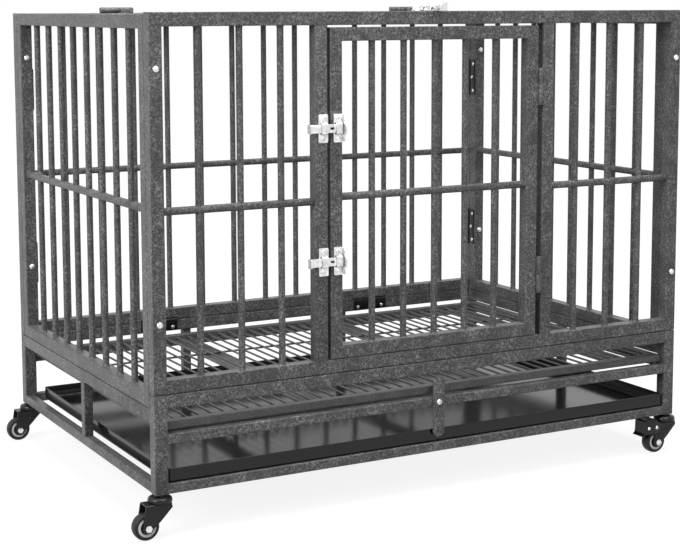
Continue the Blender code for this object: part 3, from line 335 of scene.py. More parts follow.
def slab(outline, low, high, axis, edge=0.0004):
    """Carry an outline straight along an axis. At both ends it is drawn in by edge * (1 - sin t) and
    back by edge * (1 - cos t), for t from 0 to 90 degrees."""
    angle = np.radians([0.0, 45.0, 90.0])
    draw = edge * (1.0 - np.sin(angle))
    rise = edge * (1.0 - np.cos(angle))
    outlines = [inset(outline, d) for d in draw] + [inset(outline, d) for d in draw[::-1]]
    levels = np.concatenate([low + rise, high - rise[::-1]])
    return skin(standing(outlines, levels, axis))


def block(low, high, axis, reach=0.001, edge=0.0004):
    """Return a slab over a rectangle whose corners along the axis are rounded."""
    first, second = other_axes(axis)
    outline = eased(rectangle((low[first], low[second]), (high[first], high[second])), reach, 4)
    return slab(outline, low[axis], high[axis], axis, edge)


def tube(low, high, axis):
    """Return a straight length of square tube: a rounded square carried along the axis."""
    reach = bpy.context.scene.crate_sizes.tube_rounding
    return block(low, high, axis, reach, edge=0.0006)


def tube_ring(low, high, axis, width, height=None):
    """Carry a rounded square round a rectangle: at corner k the point (u, v) of the square goes to
    corner + u * (its outward diagonal) + v * axis, so that the lengths meet in a mitre."""
    reach = bpy.context.scene.crate_sizes.tube_rounding
    first, second = other_axes(axis)
    height = high[axis] - low[axis] if height is None else height
    section = eased(rectangle((-width / 2, -height / 2), (width / 2, height / 2)), reach)
    near = (low[first] + width / 2, low[second] + width / 2)
    far = (high[first] - width / 2, high[second] - width / 2)
    corners = np.array(rectangle(near, far))
    diagonal = np.array([(-1, -1), (1, -1), (1, 1), (-1, 1)], float)
    grid = np.zeros((4, len(section), 3))
    grid[..., first] = corners[:, None, 0] + diagonal[:, None, 0] * section[None, :, 0]
    grid[..., second] = corners[:, None, 1] + diagonal[:, None, 1] * section[None, :, 0]
    grid[..., axis] = (low[axis] + high[axis]) / 2 + section[None, :, 1]
    return skin(grid, loop_rows=True)


def turned(profile, centre, axis, sides=32, closed=False):
    """Turn (radius, height) points round an axis through the centre: (r cos t, r sin t, h)."""
    profile = np.asarray(profile, float)
    angle = np.arange(sides) * 2.0 * math.pi / sides
    first, second = other_axes(axis)
    grid = np.zeros((len(profile), sides, 3))
    grid[..., first] = centre[first] + profile[:, :1] * np.cos(angle)
    grid[..., second] = centre[second] + profile[:, :1] * np.sin(angle)
    grid[..., axis] = profile[:, 1:]
    return skin(grid, loop_rows=closed)


def rod(radius, centre, low, high, axis, sides=24):
    """Return a plain round rod: two rings of one radius, closed at both ends."""
    return turned([(radius, low), (radius, high)], centre, axis, sides)


def bar(centre, low, high, axis):
    """Return a round bar whose radius grows by weld * exp(-d / 1 mm) at a distance d from its ends."""
    sizes = bpy.context.scene.crate_sizes
    fade = 0.001
    rise = np.array([0.0, 0.0004, 0.0009, 0.0016, 0.0026, 0.0045])
    level = np.concatenate([low + rise, high - rise[::-1]])
    away = np.concatenate([rise, rise[::-1]])
    radius = sizes.bar / 2.0 + sizes.weld * np.exp(-away / fade)
    return turned(np.stack([radius, level], -1), centre, axis, 24)


def folded_strip(path, low, high, thickness, axis, edge=0.00035):
    """Carry a rounded strip of sheet along a bent path across the axis: a point sits at
    path + depth * (mitre of the two runs there) + width along the axis."""
    path = np.asarray(path, float)
    run = np.diff(path, axis=0)
    run /= np.linalg.norm(run, axis=1, keepdims=True)
    normal = np.stack([-run[:, 1], run[:, 0]], -1)
    before = np.vstack([normal[:1], normal])
    after = np.vstack([normal, normal[-1:]])
    mitre = (before + after) / (1.0 + (before * after).sum(1, keepdims=True))
    section = eased(rectangle((0.0, low), (thickness, high)), edge, 4)
    first, second = other_axes(axis)
    grid = np.zeros((len(path), len(section), 3))
    grid[..., first] = path[:, None, 0] + mitre[:, None, 0] * section[None, :, 0]
    grid[..., second] = path[:, None, 1] + mitre[:, None, 1] * section[None, :, 0]
    grid[..., axis] = section[None, :, 1]
    return skin(grid)


def screw_head(centre, axis, face, out, radius, height, sides=48):
    """Return a domed screw head with a sunk cross, whose edge lies 0.58 R (0.28 + 0.72 cos^4 2t) out."""
    angle = np.arange(sides) * 2.0 * math.pi / sides
    lobes = 0.58 * radius * (0.28 + 0.72 * np.cos(2.0 * angle) ** 4)
    rings = [
        (radius * np.ones(sides), -0.15),
        (radius * np.ones(sides), 0.30),
        (0.93 * radius * np.ones(sides), 0.58),
        (0.80 * radius * np.ones(sides), 0.84),
        (np.maximum(1.06 * lobes, 0.62 * radius), 0.97),
        (1.05 * lobes, 1.0),
        (0.92 * lobes, 0.20),
        (0.30 * lobes, 0.05),
    ]
    first, second = other_axes(axis)
    reach = np.array([ring[0] for ring in rings])
    grid = np.zeros((len(rings), sides, 3))
    grid[..., first] = centre[first] + reach * np.cos(angle)
    grid[..., second] = centre[second] + reach * np.sin(angle)
    grid[..., axis] = face + out * height * np.array([ring[1] for ring in rings])[:, None]
    return skin(grid)


def carried(shapes, turn, place):
    """Turn and move surfaces: each row of the turn says how much of a point's three numbers goes into
    one crate position."""
    turn = np.asarray(turn, float)
    place = np.asarray(place)
    return [outward(points @ turn.T + place, quads, triangles) for points, quads, triangles in shapes]


def make_piece(name, shapes, material, node, stands_in=True):
    """Join closed surfaces into one object that rides with a CAD node's body. It stands for the node,
    unless it is a small part beside the piece that does."""
    starts = np.cumsum([0] + [len(shape[0]) for shape in shapes[:-1]])
    points = np.vstack([shape[0] for shape in shapes]) + CORNER
    quads = np.vstack([shape[1] + start for shape, start in zip(shapes, starts)])
    triangles = np.vstack([shape[2] + start for shape, start in zip(shapes, starts)])
    mesh = bpy.data.meshes.new(name)
    mesh.from_pydata(points, [], quads.tolist() + triangles.tolist())
    mesh.polygons.foreach_set("use_smooth", np.ones(len(mesh.polygons), bool))
    mesh.set_sharp_from_angle(angle=SMOOTH_ANGLE)
    mesh.materials.append(material)
    mesh.update()
    piece = bpy.data.objects.new(name, mesh)
    bpy.context.scene.collection.objects.link(piece)
    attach(piece, BODY_OF[node])
    if stands_in:
        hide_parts(node)
    return piece


# Finishes


def add_node(tree, kind, inputs, **settings):
    """Add a shader node, set its options, and set or link its inputs by name or number."""
    made = tree.nodes.new(kind)
    for key, value in settings.items():
        setattr(made, key, value)
    for key, value in inputs.items():
        if isinstance(value, bpy.types.NodeSocket):
            tree.links.new(value, made.inputs[key])
        else:
            made.inputs[key].default_value = value
    return made


def start_finish(name, roughness, metallic=0.0, specular=0.5):
    """Return a new material with its tree, its shader and the object coordinates."""
    material = bpy.data.materials.new(name)
    material.use_nodes = True
    tree = material.node_tree
    shader = tree.nodes["Principled BSDF"]
    shader.inputs["Roughness"].default_value = roughness
    shader.inputs["Metallic"].default_value = metallic
    shader.inputs["Specular IOR Level"].default_value = specular
    place = add_node(tree, "ShaderNodeTexCoord", {}).outputs["Object"]
    return material, tree, shader, place


def noise(tree, place, scale, detail=3.0, roughness=0.55):
    """Return the value of a noise pattern."""
    inputs = {"Vector": place, "Scale": scale, "Detail": detail, "Roughness": roughness}
    return add_node(tree, "ShaderNodeTexNoise", inputs).outputs[0]


def ranged(tree, value, low, high, to_low, to_high):
    """Return a value carried from one range to another and held at its ends."""
    inputs = {"Value": value, "From Min": low, "From Max": high, "To Min": to_low, "To Max": to_high}
    return add_node(tree, "ShaderNodeMapRange", inputs).outputs["Result"]


def reckon(tree, operation, a, b):
    """Return the result of one sum on two values."""
    return add_node(tree, "ShaderNodeMath", {0: a, 1: b}, operation=operation).outputs[0]


def mixed(tree, factor, a, b):
    """Return a mix of two colours."""
    inputs = {"Factor": factor, "A": a, "B": b}
    made = tree.nodes.new("ShaderNodeMix")
    made.data_type = "RGBA"
    for key, index in (("Factor", 0), ("A", 6), ("B", 7)):
        if isinstance(inputs[key], bpy.types.NodeSocket):
            tree.links.new(inputs[key], made.inputs[index])
        else:
            made.inputs[index].default_value = inputs[key]
    return made.outputs[2]


def shade(colour, factor):
    """Return a colour made lighter or darker, with its alpha."""
    return (*[min(1.0, c * factor) for c in colour], 1.0)


def finish_with(tree, shader, colour, roughness, height, strength, distance):
    """Link a colour, a roughness and a bump to the shader."""
    tree.links.new(colour, shader.inputs["Base Color"])
    tree.links.new(roughness, shader.inputs["Roughness"])
    bump = add_node(tree, "ShaderNodeBump", {"Height": height, "Strength": strength, "Distance": distance})
    tree.links.new(bump.outputs["Normal"], shader.inputs["Normal"])


def hammered_paint():
    """Grey hammered paint: stirred pale veins and flecks over dark domes a few millimetres wide."""
    colours = bpy.context.scene.crate_colours
    material, tree, shader, place = start_finish("hammered_paint", 0.42, metallic=0.1, specular=0.2)
    stir = add_node(tree, "ShaderNodeTexNoise", {"Vector": place, "Scale": 210.0, "Detail": 3.0})
    moved = {0: stir.outputs["Color"], 1: (0.0085, 0.0085, 0.0085), 2: place}
    warped = add_node(tree, "ShaderNodeVectorMath", moved, operation="MULTIPLY_ADD").outputs["Vector"]
    pattern = {"Vector": warped, "Scale": 240.0}
    voronoi = add_node(tree, "ShaderNodeTexVoronoi", pattern, feature="DISTANCE_TO_EDGE")
    cells = voronoi.outputs["Distance"]
    vein = ranged(tree, cells, 0.0, 0.12, 0.75, 0.0)
    fleck = ranged(tree, noise(tree, place, 290.0, 2.0, 0.6), 0.51, 0.64, 0.0, 1.0)
    cloud = ranged(tree, noise(tree, place, 30.0, 3.0), 0.32, 0.68, 0.30, 1.0)
    light = reckon(tree, "MULTIPLY", reckon(tree, "MAXIMUM", vein, fleck), cloud)
    colour = mixed(tree, light, shade(colours.paint, 1.0), shade(colours.paint_crackle, 1.0))
    rough = ranged(tree, light, 0.0, 1.0, 0.36, 0.52)
    dome = ranged(tree, cells, 0.0, 0.30, 0.0, 1.0)
    grain = noise(tree, place, 900.0, 2.0)
    height = reckon(tree, "ADD", dome, reckon(tree, "MULTIPLY", grain, 0.25))
    finish_with(tree, shader, colour, rough, height, 0.45, 0.00035)
    return material


def grid_paint():
    """Plain grey paint of the floor wires, thin and dark in patches with fine specks."""
    colours = bpy.context.scene.crate_colours
    material, tree, shader, place = start_finish("grid_paint", 0.40, metallic=0.1, specular=0.2)
    speck = ranged(tree, noise(tree, place, 650.0, 2.0), 0.40, 0.64, 0.0, 1.0)
    patch = ranged(tree, noise(tree, place, 34.0, 3.0), 0.35, 0.65, 0.45, 1.0)
    light = reckon(tree, "MULTIPLY", speck, patch)
    colour = mixed(tree, light, shade(colours.grid, 0.55), shade(colours.grid, 1.6))
    finish_with(tree, shader, colour, ranged(tree, light, 0.0, 1.0, 0.30, 0.46), speck, 0.35, 0.0002)
    return material


def tray_enamel():
    """Black gloss enamel: a hazy mirror with a faint swell and orange peel."""
    colours = bpy.context.scene.crate_colours
    material, tree, shader, place = start_finish("tray_enamel", 0.12, specular=0.30)
    haze = ranged(tree, noise(tree, place, 5.0, 4.0), 0.35, 0.70, 0.0, 1.0)
    dust = ranged(tree, noise(tree, place, 900.0, 2.0), 0.62, 0.74, 0.0, 1.0)
    colour = mixed(tree, dust, shade(colours.enamel, 1.0), shade(colours.enamel, 2.6))
    swell = noise(tree, place, 3.2, 1.0)
    peel = noise(tree, place, 160.0, 1.0)
    swell = reckon(tree, "ADD", swell, reckon(tree, "MULTIPLY", peel, 0.02))
    finish_with(tree, shader, colour, ranged(tree, haze, 0.0, 1.0, 0.09, 0.15), swell, 0.35, 0.004)
    return material


def bright_zinc():
    """Bright plating: pale metal with faint rubbing lines and duller patches."""
    colours = bpy.context.scene.crate_colours
    material, tree, shader, place = start_finish("bright_zinc", 0.26, metallic=1.0)
    stretched = add_node(tree, "ShaderNodeMapping", {"Vector": place, "Scale": (1.0, 1.0, 0.08)})
    lines = noise(tree, stretched.outputs["Vector"], 1800.0, 2.0)
    patch = ranged(tree, noise(tree, place, 160.0, 3.0), 0.35, 0.65, 0.0, 1.0)
    colour = mixed(tree, patch, shade(colours.zinc, 0.80), shade(colours.zinc, 1.12))
    rubbed = reckon(tree, "MULTIPLY", lines, 0.06)
    rough = reckon(tree, "ADD", ranged(tree, patch, 0.0, 1.0, 0.34, 0.20), rubbed)
    finish_with(tree, shader, colour, rough, lines, 0.18, 0.0001)
    return material


def black_steel():
    """Black finish of the castors and hinges: satin, with slight peel and worn grey patches."""
    colours = bpy.context.scene.crate_colours
    material, tree, shader, place = start_finish("black_steel", 0.32, specular=0.28)
    peel = noise(tree, place, 700.0, 2.0)
    worn = ranged(tree, noise(tree, place, 95.0, 4.0, 0.65), 0.55, 0.75, 0.0, 1.0)
    colour = mixed(tree, worn, shade(colours.black_steel, 0.9), shade(colours.black_steel, 2.2))
    finish_with(tree, shader, colour, ranged(tree, worn, 0.0, 1.0, 0.24, 0.42), peel, 0.22, 0.00015)
    return material


def wheel_rubber():
    """Dull dark tyre with fine grain and light scuffs."""
    colours = bpy.context.scene.crate_colours
    material, tree, shader, place = start_finish("wheel_rubber", 0.55, specular=0.22)
    grain = noise(tree, place, 1100.0, 3.0)
    scuff = ranged(tree, noise(tree, place, 240.0, 4.0, 0.7), 0.56, 0.74, 0.0, 1.0)
    colour = mixed(tree, scuff, shade(colours.rubber, 0.9), shade(colours.rubber, 2.0))
    finish_with(tree, shader, colour, ranged(tree, scuff, 0.0, 1.0, 0.46, 0.68), grain, 0.25, 0.0002)
    return material


def ring_plastic():
    """White moulded ring with slightly uneven gloss and a trace of dust."""
    colours = bpy.context.scene.crate_colours
    material, tree, shader, place = start_finish("ring_plastic", 0.38, specular=0.5)
    dust = ranged(tree, noise(tree, place, 380.0, 4.0), 0.52, 0.72, 0.0, 1.0)
    colour = mixed(tree, dust, shade(colours.ring, 1.0), shade(colours.ring, 0.80))
    finish_with(tree, shader, colour, ranged(tree, dust, 0.0, 1.0, 0.30, 0.48), dust, 0.10, 0.0001)
    return material


FINISHES = {
    "frame_paint": hammered_paint,
    "grid_paint": grid_paint,
    "tray_enamel": tray_enamel,
    "bright_zinc": bright_zinc,
    "black_steel": black_steel,
    "black_rubber": wheel_rubber,
    "ring_plastic": ring_plastic,
}
MADE_FINISHES = {}


def finish(slot):
    """Return the one material of a slot, made when it is first asked for."""
    if slot not in MADE_FINISHES:
        MADE_FINISHES[slot] = FINISHES[slot]()
    return MADE_FINISHES[slot]


# Panels, door and lid


def place_shapes(node, ending, slot, shapes):
    """Make the piece that stands for one CAD node in the finish of its slot."""
    return make_piece(f"{node}_{ending}", shapes, finish(slot), node)


def even_positions(start, end, count):
    """Return positions that divide a space into equal steps: start + (end - start) k / (count + 1)."""
    return start + (end - start) * np.arange(1, count + 1) / (count + 1)


def rail(low, high, across, level, along):
    """Return the level rail through the bars of a panel."""
    sizes = bpy.context.scene.crate_sizes
    centre = np.array([across, across, level])
    half = np.array([sizes.rail_depth / 2, sizes.rail_depth / 2, sizes.rail_height / 2])
    corner, opposite = centre - half, centre + half
    corner[along] = low
    opposite[along] = high
    return block(corner, opposite, along, RAIL_ROUNDING)


def upright_panel(node, along):
    """Return ring, even bars and level rail of a panel that stands along X or Y."""
    width = bpy.context.scene.crate_sizes.tube
    low, high = span(node)
    across = 1 - along
    middle = (low[across] + high[across]) / 2
    shapes = [tube_ring(low, high, across, width)]
    for spot in even_positions(low[along] + width, high[along] - width, BAR_COUNTS[node]):
        centre = np.zeros(3)
        centre[along] = spot
        centre[across] = middle
        shapes.append(bar(centre, low[2] + width - BAR_BITE, high[2] - width + BAR_BITE, Z_AXIS))
    start, end = low[along] + width - RAIL_BITE, high[along] - width + RAIL_BITE
    shapes.append(rail(start, end, middle, RAIL_LEVELS[node], along))
    return shapes


class CRATE_OT_front_panel(Operator):
    """Make the front panel: tube ring, two doorway jambs, six bars and two level rails"""

    bl_idname = "crate.front_panel"
    bl_label = "Front Panel"

    def execute(self, context):
        width = context.scene.crate_sizes.tube
        low, high = span("front_panel")
        middle = width / 2
        bottom, top = low[2] + width - BAR_BITE, high[2] - width + BAR_BITE
        shapes = [tube_ring(low, high, Y_AXIS, width)]
        for x in (LEFT_JAMB, RIGHT_JAMB):
            shapes.append(tube((x, 0.0, bottom), (x + width, width, top), Z_AXIS))
        for x in FRONT_BARS + tuple(LENGTH - x for x in FRONT_BARS):
            shapes.append(bar((x, middle, 0.0), bottom, top, Z_AXIS))
        level = RAIL_LEVELS["front_panel"]
        for start, end in ((width, LEFT_JAMB), (RIGHT_JAMB + width, LENGTH - width)):
            shapes.append(rail(start - RAIL_BITE, end + RAIL_BITE, middle, level, X_AXIS))
        place_shapes("front_panel", "weldment", "frame_paint", shapes)
        return {"FINISHED"}


class CRATE_OT_panels(Operator):
    """Make the back and side panels"""

    bl_idname = "crate.panels"
    bl_label = "Back and Side Panels"

    def execute(self, context):
        for node, along in (("back_panel", X_AXIS), ("left_panel", Y_AXIS), ("right_panel", Y_AXIS)):
            place_shapes(node, "weldment", "frame_paint", upright_panel(node, along))
        return {"FINISHED"}


class CRATE_OT_door(Operator):
    """Make the front door"""

    bl_idname = "crate.door"
    bl_label = "Front Door"

    def execute(self, context):
        place_shapes("front_door", "weldment", "frame_paint", upright_panel("front_door", X_AXIS))
        return {"FINISHED"}


class CRATE_OT_lid(Operator):
    """Make the top lid: tube ring, bars from front to back and one rail across them"""

    bl_idname = "crate.lid"
    bl_label = "Top Lid"

    def execute(self, context):
        sizes = context.scene.crate_sizes
        width = sizes.tube
        low, high = span("top_lid")
        middle = (low + high) / 2
        shapes = [tube_ring(low, high, Z_AXIS, width)]
        front, back = low[1] + width - BAR_BITE, high[1] - width + BAR_BITE
        for x in even_positions(low[0] + width, high[0] - width, BAR_COUNTS["top_lid"]):
            shapes.append(bar((x, 0.0, middle[2]), front, back, Y_AXIS))
        half = np.array([0.0, sizes.rail_height / 2, sizes.rail_depth / 2])
        start, end = middle - half, middle + half
        start[0], end[0] = low[0] + width - RAIL_BITE, high[0] - width + RAIL_BITE
        shapes.append(block(start, end, X_AXIS, RAIL_ROUNDING))
        place_shapes("top_lid", "weldment", "frame_paint", shapes)
        return {"FINISHED"}


# Barrel hinges, whose lugs stay this far back from the barrel's ends
LUG_SETBACK = 0.0008


def barrel_profile(radius, start, end, pin_at_end):
    """Return radii and heights of a barrel with rims eased by 0.6 mm and a low pin head on one end."""
    ease = 0.0006
    profile = [
        (radius - ease, start),
        (radius - 0.3 * ease, start + 0.3 * ease),
        (radius, start + ease),
        (radius, end - ease),
        (radius - 0.3 * ease, end - 0.3 * ease),
        (radius - ease, end),
    ]
    head = [(0.62, 0.0), (0.60, 0.25), (0.45, 0.6), (0.2, 0.8)]
    head = [(r * radius, h * ease) for r, h in head]
    if pin_at_end:
        profile[-1] = (radius - ease, end - ease)
        profile += [(r, end - 0.8 * ease + h) for r, h in head]
    else:
        profile[0] = (radius - ease, start + ease)
        profile = [(r, start + 0.8 * ease - h) for r, h in head[::-1]] + profile
    return profile


class CRATE_OT_door_hinges(Operator):
    """Make the four halves of the two upright barrel hinges of the door"""

    bl_idname = "crate.door_hinges"
    bl_label = "Door Hinges"

    def execute(self, context):
        radius = 0.0046
        for level in ("lower", "upper"):
            for half in ("jamb", "door"):
                node = f"door_hinge_{level}_{half}_half"
                low, high = span(node)
                centre_x = low[0] + radius if half == "jamb" else high[0] - radius
                centre_y = low[1] + radius
                profile = barrel_profile(radius, low[2], high[2], pin_at_end=half == "door")
                shapes = [turned(profile, (centre_x, centre_y, 0.0), Z_AXIS)]
                edges = sorted((centre_x, high[0] if half == "jamb" else low[0]))
                lug_low = (edges[0], centre_y, low[2] + LUG_SETBACK)
                lug_high = (edges[1], high[1], high[2] - LUG_SETBACK)
                shapes.append(block(lug_low, lug_high, Z_AXIS, 0.0006, 0.0003))
                place_shapes(node, "barrel", "frame_paint", shapes)
        return {"FINISHED"}


class CRATE_OT_lid_hinges(Operator):
    """Make the four halves of the two barrel hinges behind the lid"""

    bl_idname = "crate.lid_hinges"
    bl_label = "Lid Hinges"

    def execute(self, context):
        radius = 0.00475
        centre_y = (span("top_lid")[1][1] + span("back_panel")[0][1]) / 2
        for side in ("left", "right"):
            centre_z = span(f"lid_hinge_{side}_panel_half")[1][2] - radius
            for half in ("panel", "lid"):
                node = f"lid_hinge_{side}_{half}_half"
                low, high = span(node)
                profile = barrel_profile(radius, low[0], high[0], pin_at_end=half == "lid")
                shapes = [turned(profile, (0.0, centre_y, centre_z), X_AXIS)]
                front, back = (centre_y, high[1]) if half == "panel" else (low[1], centre_y)
                lug_low = (low[0] + LUG_SETBACK, front, low[2])
                lug_high = (high[0] - LUG_SETBACK, back, centre_z)
                shapes.append(block(lug_low, lug_high, X_AXIS, 0.0005, 0.0003))
                place_shapes(node, "barrel", "frame_paint", shapes)
        return {"FINISHED"}


# Base, floor grid and tray


class CRATE_OT_base(Operator):
    """Make the base frame: posts, rails, struts, runners and tray bearers"""

    bl_idname = "crate.base"
    bl_label = "Base Frame"

    def execute(self, context):
        sizes = context.scene.crate_sizes
        wide, small = sizes.tube, sizes.small_tube
        # Faces of two tubes that would lie in one plane stand a step apart
        step = 0.0002
        shapes = []
        for x in (0.0, LENGTH - wide):
            shapes.append(tube((x, 0.0, BASE_BOTTOM), (x + wide, wide, BASE_FRONT_TOP), Z_AXIS))
            shapes.append(tube((x, DEPTH - wide, BASE_BOTTOM), (x + wide, DEPTH, BASE_SIDE_TOP), Z_AXIS))
        inside, runner_end = wide - TUBE_BITE, small - TUBE_BITE
        low_rail = (BASE_BOTTOM + step, BASE_BOTTOM + small)
        mid_rail = (BASE_MID_TOP - small, BASE_MID_TOP)
        for front, back, (bottom, top) in (
            (step, wide - step, (BASE_FRONT_TOP - wide, BASE_FRONT_TOP - step)),
            (DEPTH - wide + step, DEPTH - step, (BASE_SIDE_TOP - wide, BASE_SIDE_TOP - step)),
            (step, small, mid_rail),
            (DEPTH - small, DEPTH - step, mid_rail),
            (step, small, low_rail),
            (DEPTH - small, DEPTH - step, low_rail),
        ):
            shapes.append(tube((inside, front, bottom), (LENGTH - inside, back, top), X_AXIS))
        for left, right, rail_left, rail_right in (
            (step, small, step, wide - step),
            (LENGTH - small, LENGTH - step, LENGTH - wide + step, LENGTH - step),
        ):
            shapes.append(tube((left, inside, low_rail[0]), (right, DEPTH - inside, low_rail[1]), Y_AXIS))
            corner = (rail_left, inside, BASE_SIDE_TOP - wide)
            shapes.append(tube(corner, (rail_right, DEPTH - inside, BASE_SIDE_TOP - step), Y_AXIS))
        strut_low, strut_high = low_rail[1] - TUBE_BITE, BASE_SIDE_TOP - wide + TUBE_BITE
        for x in (2 * step, LENGTH - small + step):
            ends = (x, SIDE_STRUT, strut_low), (x + small - 3 * step, SIDE_STRUT + small, strut_high)
            shapes.append(tube(*ends, Z_AXIS))
        for x in BACK_STRUTS:
            ends = (x, DEPTH - small + step, strut_low), (x + small, DEPTH - 2 * step, strut_high)
            shapes.append(tube(*ends, Z_AXIS))
            corner = (x, runner_end, low_rail[0] + step)
            shapes.append(tube(corner, (x + small, DEPTH - runner_end, low_rail[1] - step), Y_AXIS))
        for x in (wide - step, LENGTH - wide - RUNNER_WIDTH + step):
            ends = (x, runner_end, RUNNER_LOW), (x + RUNNER_WIDTH, DEPTH - runner_end, RUNNER_TOP)
            shapes.append(block(*ends, Y_AXIS, 0.0008))
        place_shapes("base_frame", "weldment", "frame_paint", shapes)
        return {"FINISHED"}


class CRATE_OT_floor_grid(Operator):
    """Make the floor grid: tube ring, long wires, two cross wires and three flat straps"""

    bl_idname = "crate.floor_grid"
    bl_label = "Floor Grid"

    def execute(self, context):
        sizes = context.scene.crate_sizes
        low, high = span("floor_grid")
        width = sizes.small_tube
        radius = sizes.wire / 2
        shapes = [tube_ring(low, high, Z_AXIS, width)]
        reach = width - WIRE_BITE
        start, end = low + reach, high - reach
        half_span = sizes.wire_pitch * (sizes.wire_count - 1) / 2
        for x in np.linspace(LENGTH / 2 - half_span, LENGTH / 2 + half_span, sizes.wire_count):
            shapes.append(rod(radius, (x, 0.0, GRID_WIRE_LEVEL), start[1], end[1], Y_AXIS, 8))
        for y in (low[1] + GRID_CROSS_FROM_ENDS, high[1] - GRID_CROSS_FROM_ENDS):
            shapes.append(rod(radius, (0.0, y, GRID_CROSS_LEVEL), start[0], end[0], X_AXIS, 12))
        half = GRID_STRAP_WIDTH / 2
        strap_low, strap_top = low[2] + 0.0004, low[2] + 0.0026
        for x in GRID_STRAPS:
            ends = (x - half, start[1], strap_low), (x + half, end[1], strap_top)
            shapes.append(block(*ends, Y_AXIS, 0.0007))
        place_shapes("floor_grid", "wirework", "grid_paint", shapes)
        return {"FINISHED"}


class CRATE_OT_tray(Operator):
    """Make the tray: one section of floor, fillet, wall and rolled lip carried round a rounded rectangle"""

    bl_idname = "crate.tray"
    bl_label = "Tray"

    def execute(self, context):
        sheet = context.scene.crate_sizes.tray_sheet
        low, high = span("tray")
        section = [
            (0.0120, low[2] + sheet),
            (0.0052, low[2] + sheet),
            (0.0034, low[2] + sheet + 0.0004),
            (0.0022, low[2] + sheet + 0.0014),
            (sheet, low[2] + sheet + 0.0032),
            (sheet, high[2] - 0.0012),
            (sheet - 0.0001, high[2] - 0.0004),
            (sheet - 0.0004, high[2]),
            (0.0004, high[2]),
            (0.0001, high[2] - 0.0004),
            (0.0, high[2] - 0.0012),
            (0.0, low[2] + 0.0036),
            (0.0008, low[2] + 0.0014),
            (0.0022, low[2] + 0.0004),
            (0.0040, low[2]),
            (0.0120, low[2]),
        ]
        outline = eased(rectangle(low[:2], high[:2]), 0.0060, 10)
        # Past the deepest inset that its round corners bear, the outline shrinks towards its middle
        deepest = 0.0055
        outlines = [inset(outline, min(draw, deepest)) for draw, _ in section]
        rings = standing(outlines, [z for _, z in section], Z_AXIS)
        middle = (low[:2] + high[:2]) / 2
        for row, (draw, _) in enumerate(section):
            if draw > deepest:
                shrink = 1 - (draw - deepest) / (high[:2] - middle)
                rings[row, :, :2] = middle + (rings[row, :, :2] - middle) * shrink
        place_shapes("tray", "pan", "tray_enamel", [skin(rings)])
        return {"FINISHED"}


class CRATE_OT_lock_tab(Operator):
    """Make the turning lock tab and its pivot screw"""

    bl_idname = "crate.lock_tab"
    bl_label = "Lock Tab"

    def execute(self, context):
        low, high = span("lock_tab")
        # Two half circles joined by straight sides
        radius = (high[0] - low[0]) / 2
        angle = np.linspace(0.0, math.pi, 17)
        middle = (low[0] + high[0]) / 2
        across, up = radius * np.cos(angle), radius * np.sin(angle)
        top = np.stack([middle + across, high[2] - radius + up], -1)
        bottom = np.stack([middle - across, low[2] + radius - up], -1)
        outline = np.vstack([top, bottom])
        place_shapes("lock_tab", "plate", "frame_paint", [slab(outline, low[1], high[1], Y_AXIS, 0.0007)])
        low, high = span("lock_tab_screw")
        centre = (low + high) / 2
        rise, shank = 0.0026, 0.0022
        head = screw_head(centre, Y_AXIS, low[1] + rise, -1.0, (high[0] - low[0]) / 2, rise)
        stem = rod(shank, centre, low[1] + 0.0028, high[1], Y_AXIS)
        place_shapes("lock_tab_screw", "head", "bright_zinc", [head, stem])
        return {"FINISHED"}


# Latches, in slide, cross and outward directions
PLATE_TOP = 0.0020
BOLT_LOW, BOLT_TOP, BOLT_HALF = 0.0023, 0.0063, 0.00625
BOLT_BACK, BOLT_TIP = -0.0265, 0.0285
BRIDGE_CEILING, BRIDGE_TOP = 0.0068, 0.0080
KEEPER_START, KEEPER_END = 0.0170, 0.0325


def latch_bridge(start, end):
    """Return the arch over the bolt: a strip folded up, across and down with eased shoulders."""
    path = [(-0.0101, PLATE_TOP), (-0.0083, 0.0066), (-0.0067, BRIDGE_TOP)]
    path += [(-t, o) for t, o in path[::-1]]
    return folded_strip(eased(path, 0.0012, 5, closed=False), start, end, BRIDGE_CEILING - BRIDGE_TOP, X_AXIS)


def latch_screws(middle):
    """Return the two screws of a latch plate."""
    radius, rise = 0.0034, 0.0018
    return [screw_head((middle, t, 0.0), Z_AXIS, PLATE_TOP, 1.0, radius, rise) for t in (-0.0150, 0.0150)]


def latch_guide():
    """Return the guide: plate, bridge and two screws."""
    plate = block((-0.0080, -0.0210, 0.0003), (0.0080, 0.0210, PLATE_TOP), Z_AXIS, 0.0022, 0.0005)
    return [plate, latch_bridge(-0.0050, 0.0050)] + latch_screws(0.0)


def latch_bolt():
    """Return the bolt: two lengths of bar with a cheek on each side of the padlock slot between them,
    and a turned-out thumb piece."""
    slot_start, slot_end, slot_half = 0.0095, 0.0155, 0.0018
    cheek_start, cheek_end = slot_start - 0.0006, slot_end + 0.0006
    shapes = [
        block((BOLT_BACK, -BOLT_HALF, BOLT_LOW), (slot_start, BOLT_HALF, BOLT_TOP), Z_AXIS, 0.0005),
        block((slot_end, -BOLT_HALF, BOLT_LOW), (BOLT_TIP, BOLT_HALF, BOLT_TOP), Z_AXIS, 0.0016),
        block((cheek_start, -BOLT_HALF, BOLT_LOW), (cheek_end, -slot_half, BOLT_TOP), X_AXIS, 0.0004),
        block((cheek_start, slot_half, BOLT_LOW), (cheek_end, BOLT_HALF, BOLT_TOP), X_AXIS, 0.0004),
    ]
    thumb = eased([(-0.0070, BOLT_LOW), (0.0070, BOLT_LOW), (0.0070, 0.0130), (-0.0070, 0.0130)], 0.0022, 6)
    shapes.append(slab(thumb, BOLT_BACK - 0.0002, BOLT_BACK + 0.0020, X_AXIS, 0.0006))
    return shapes


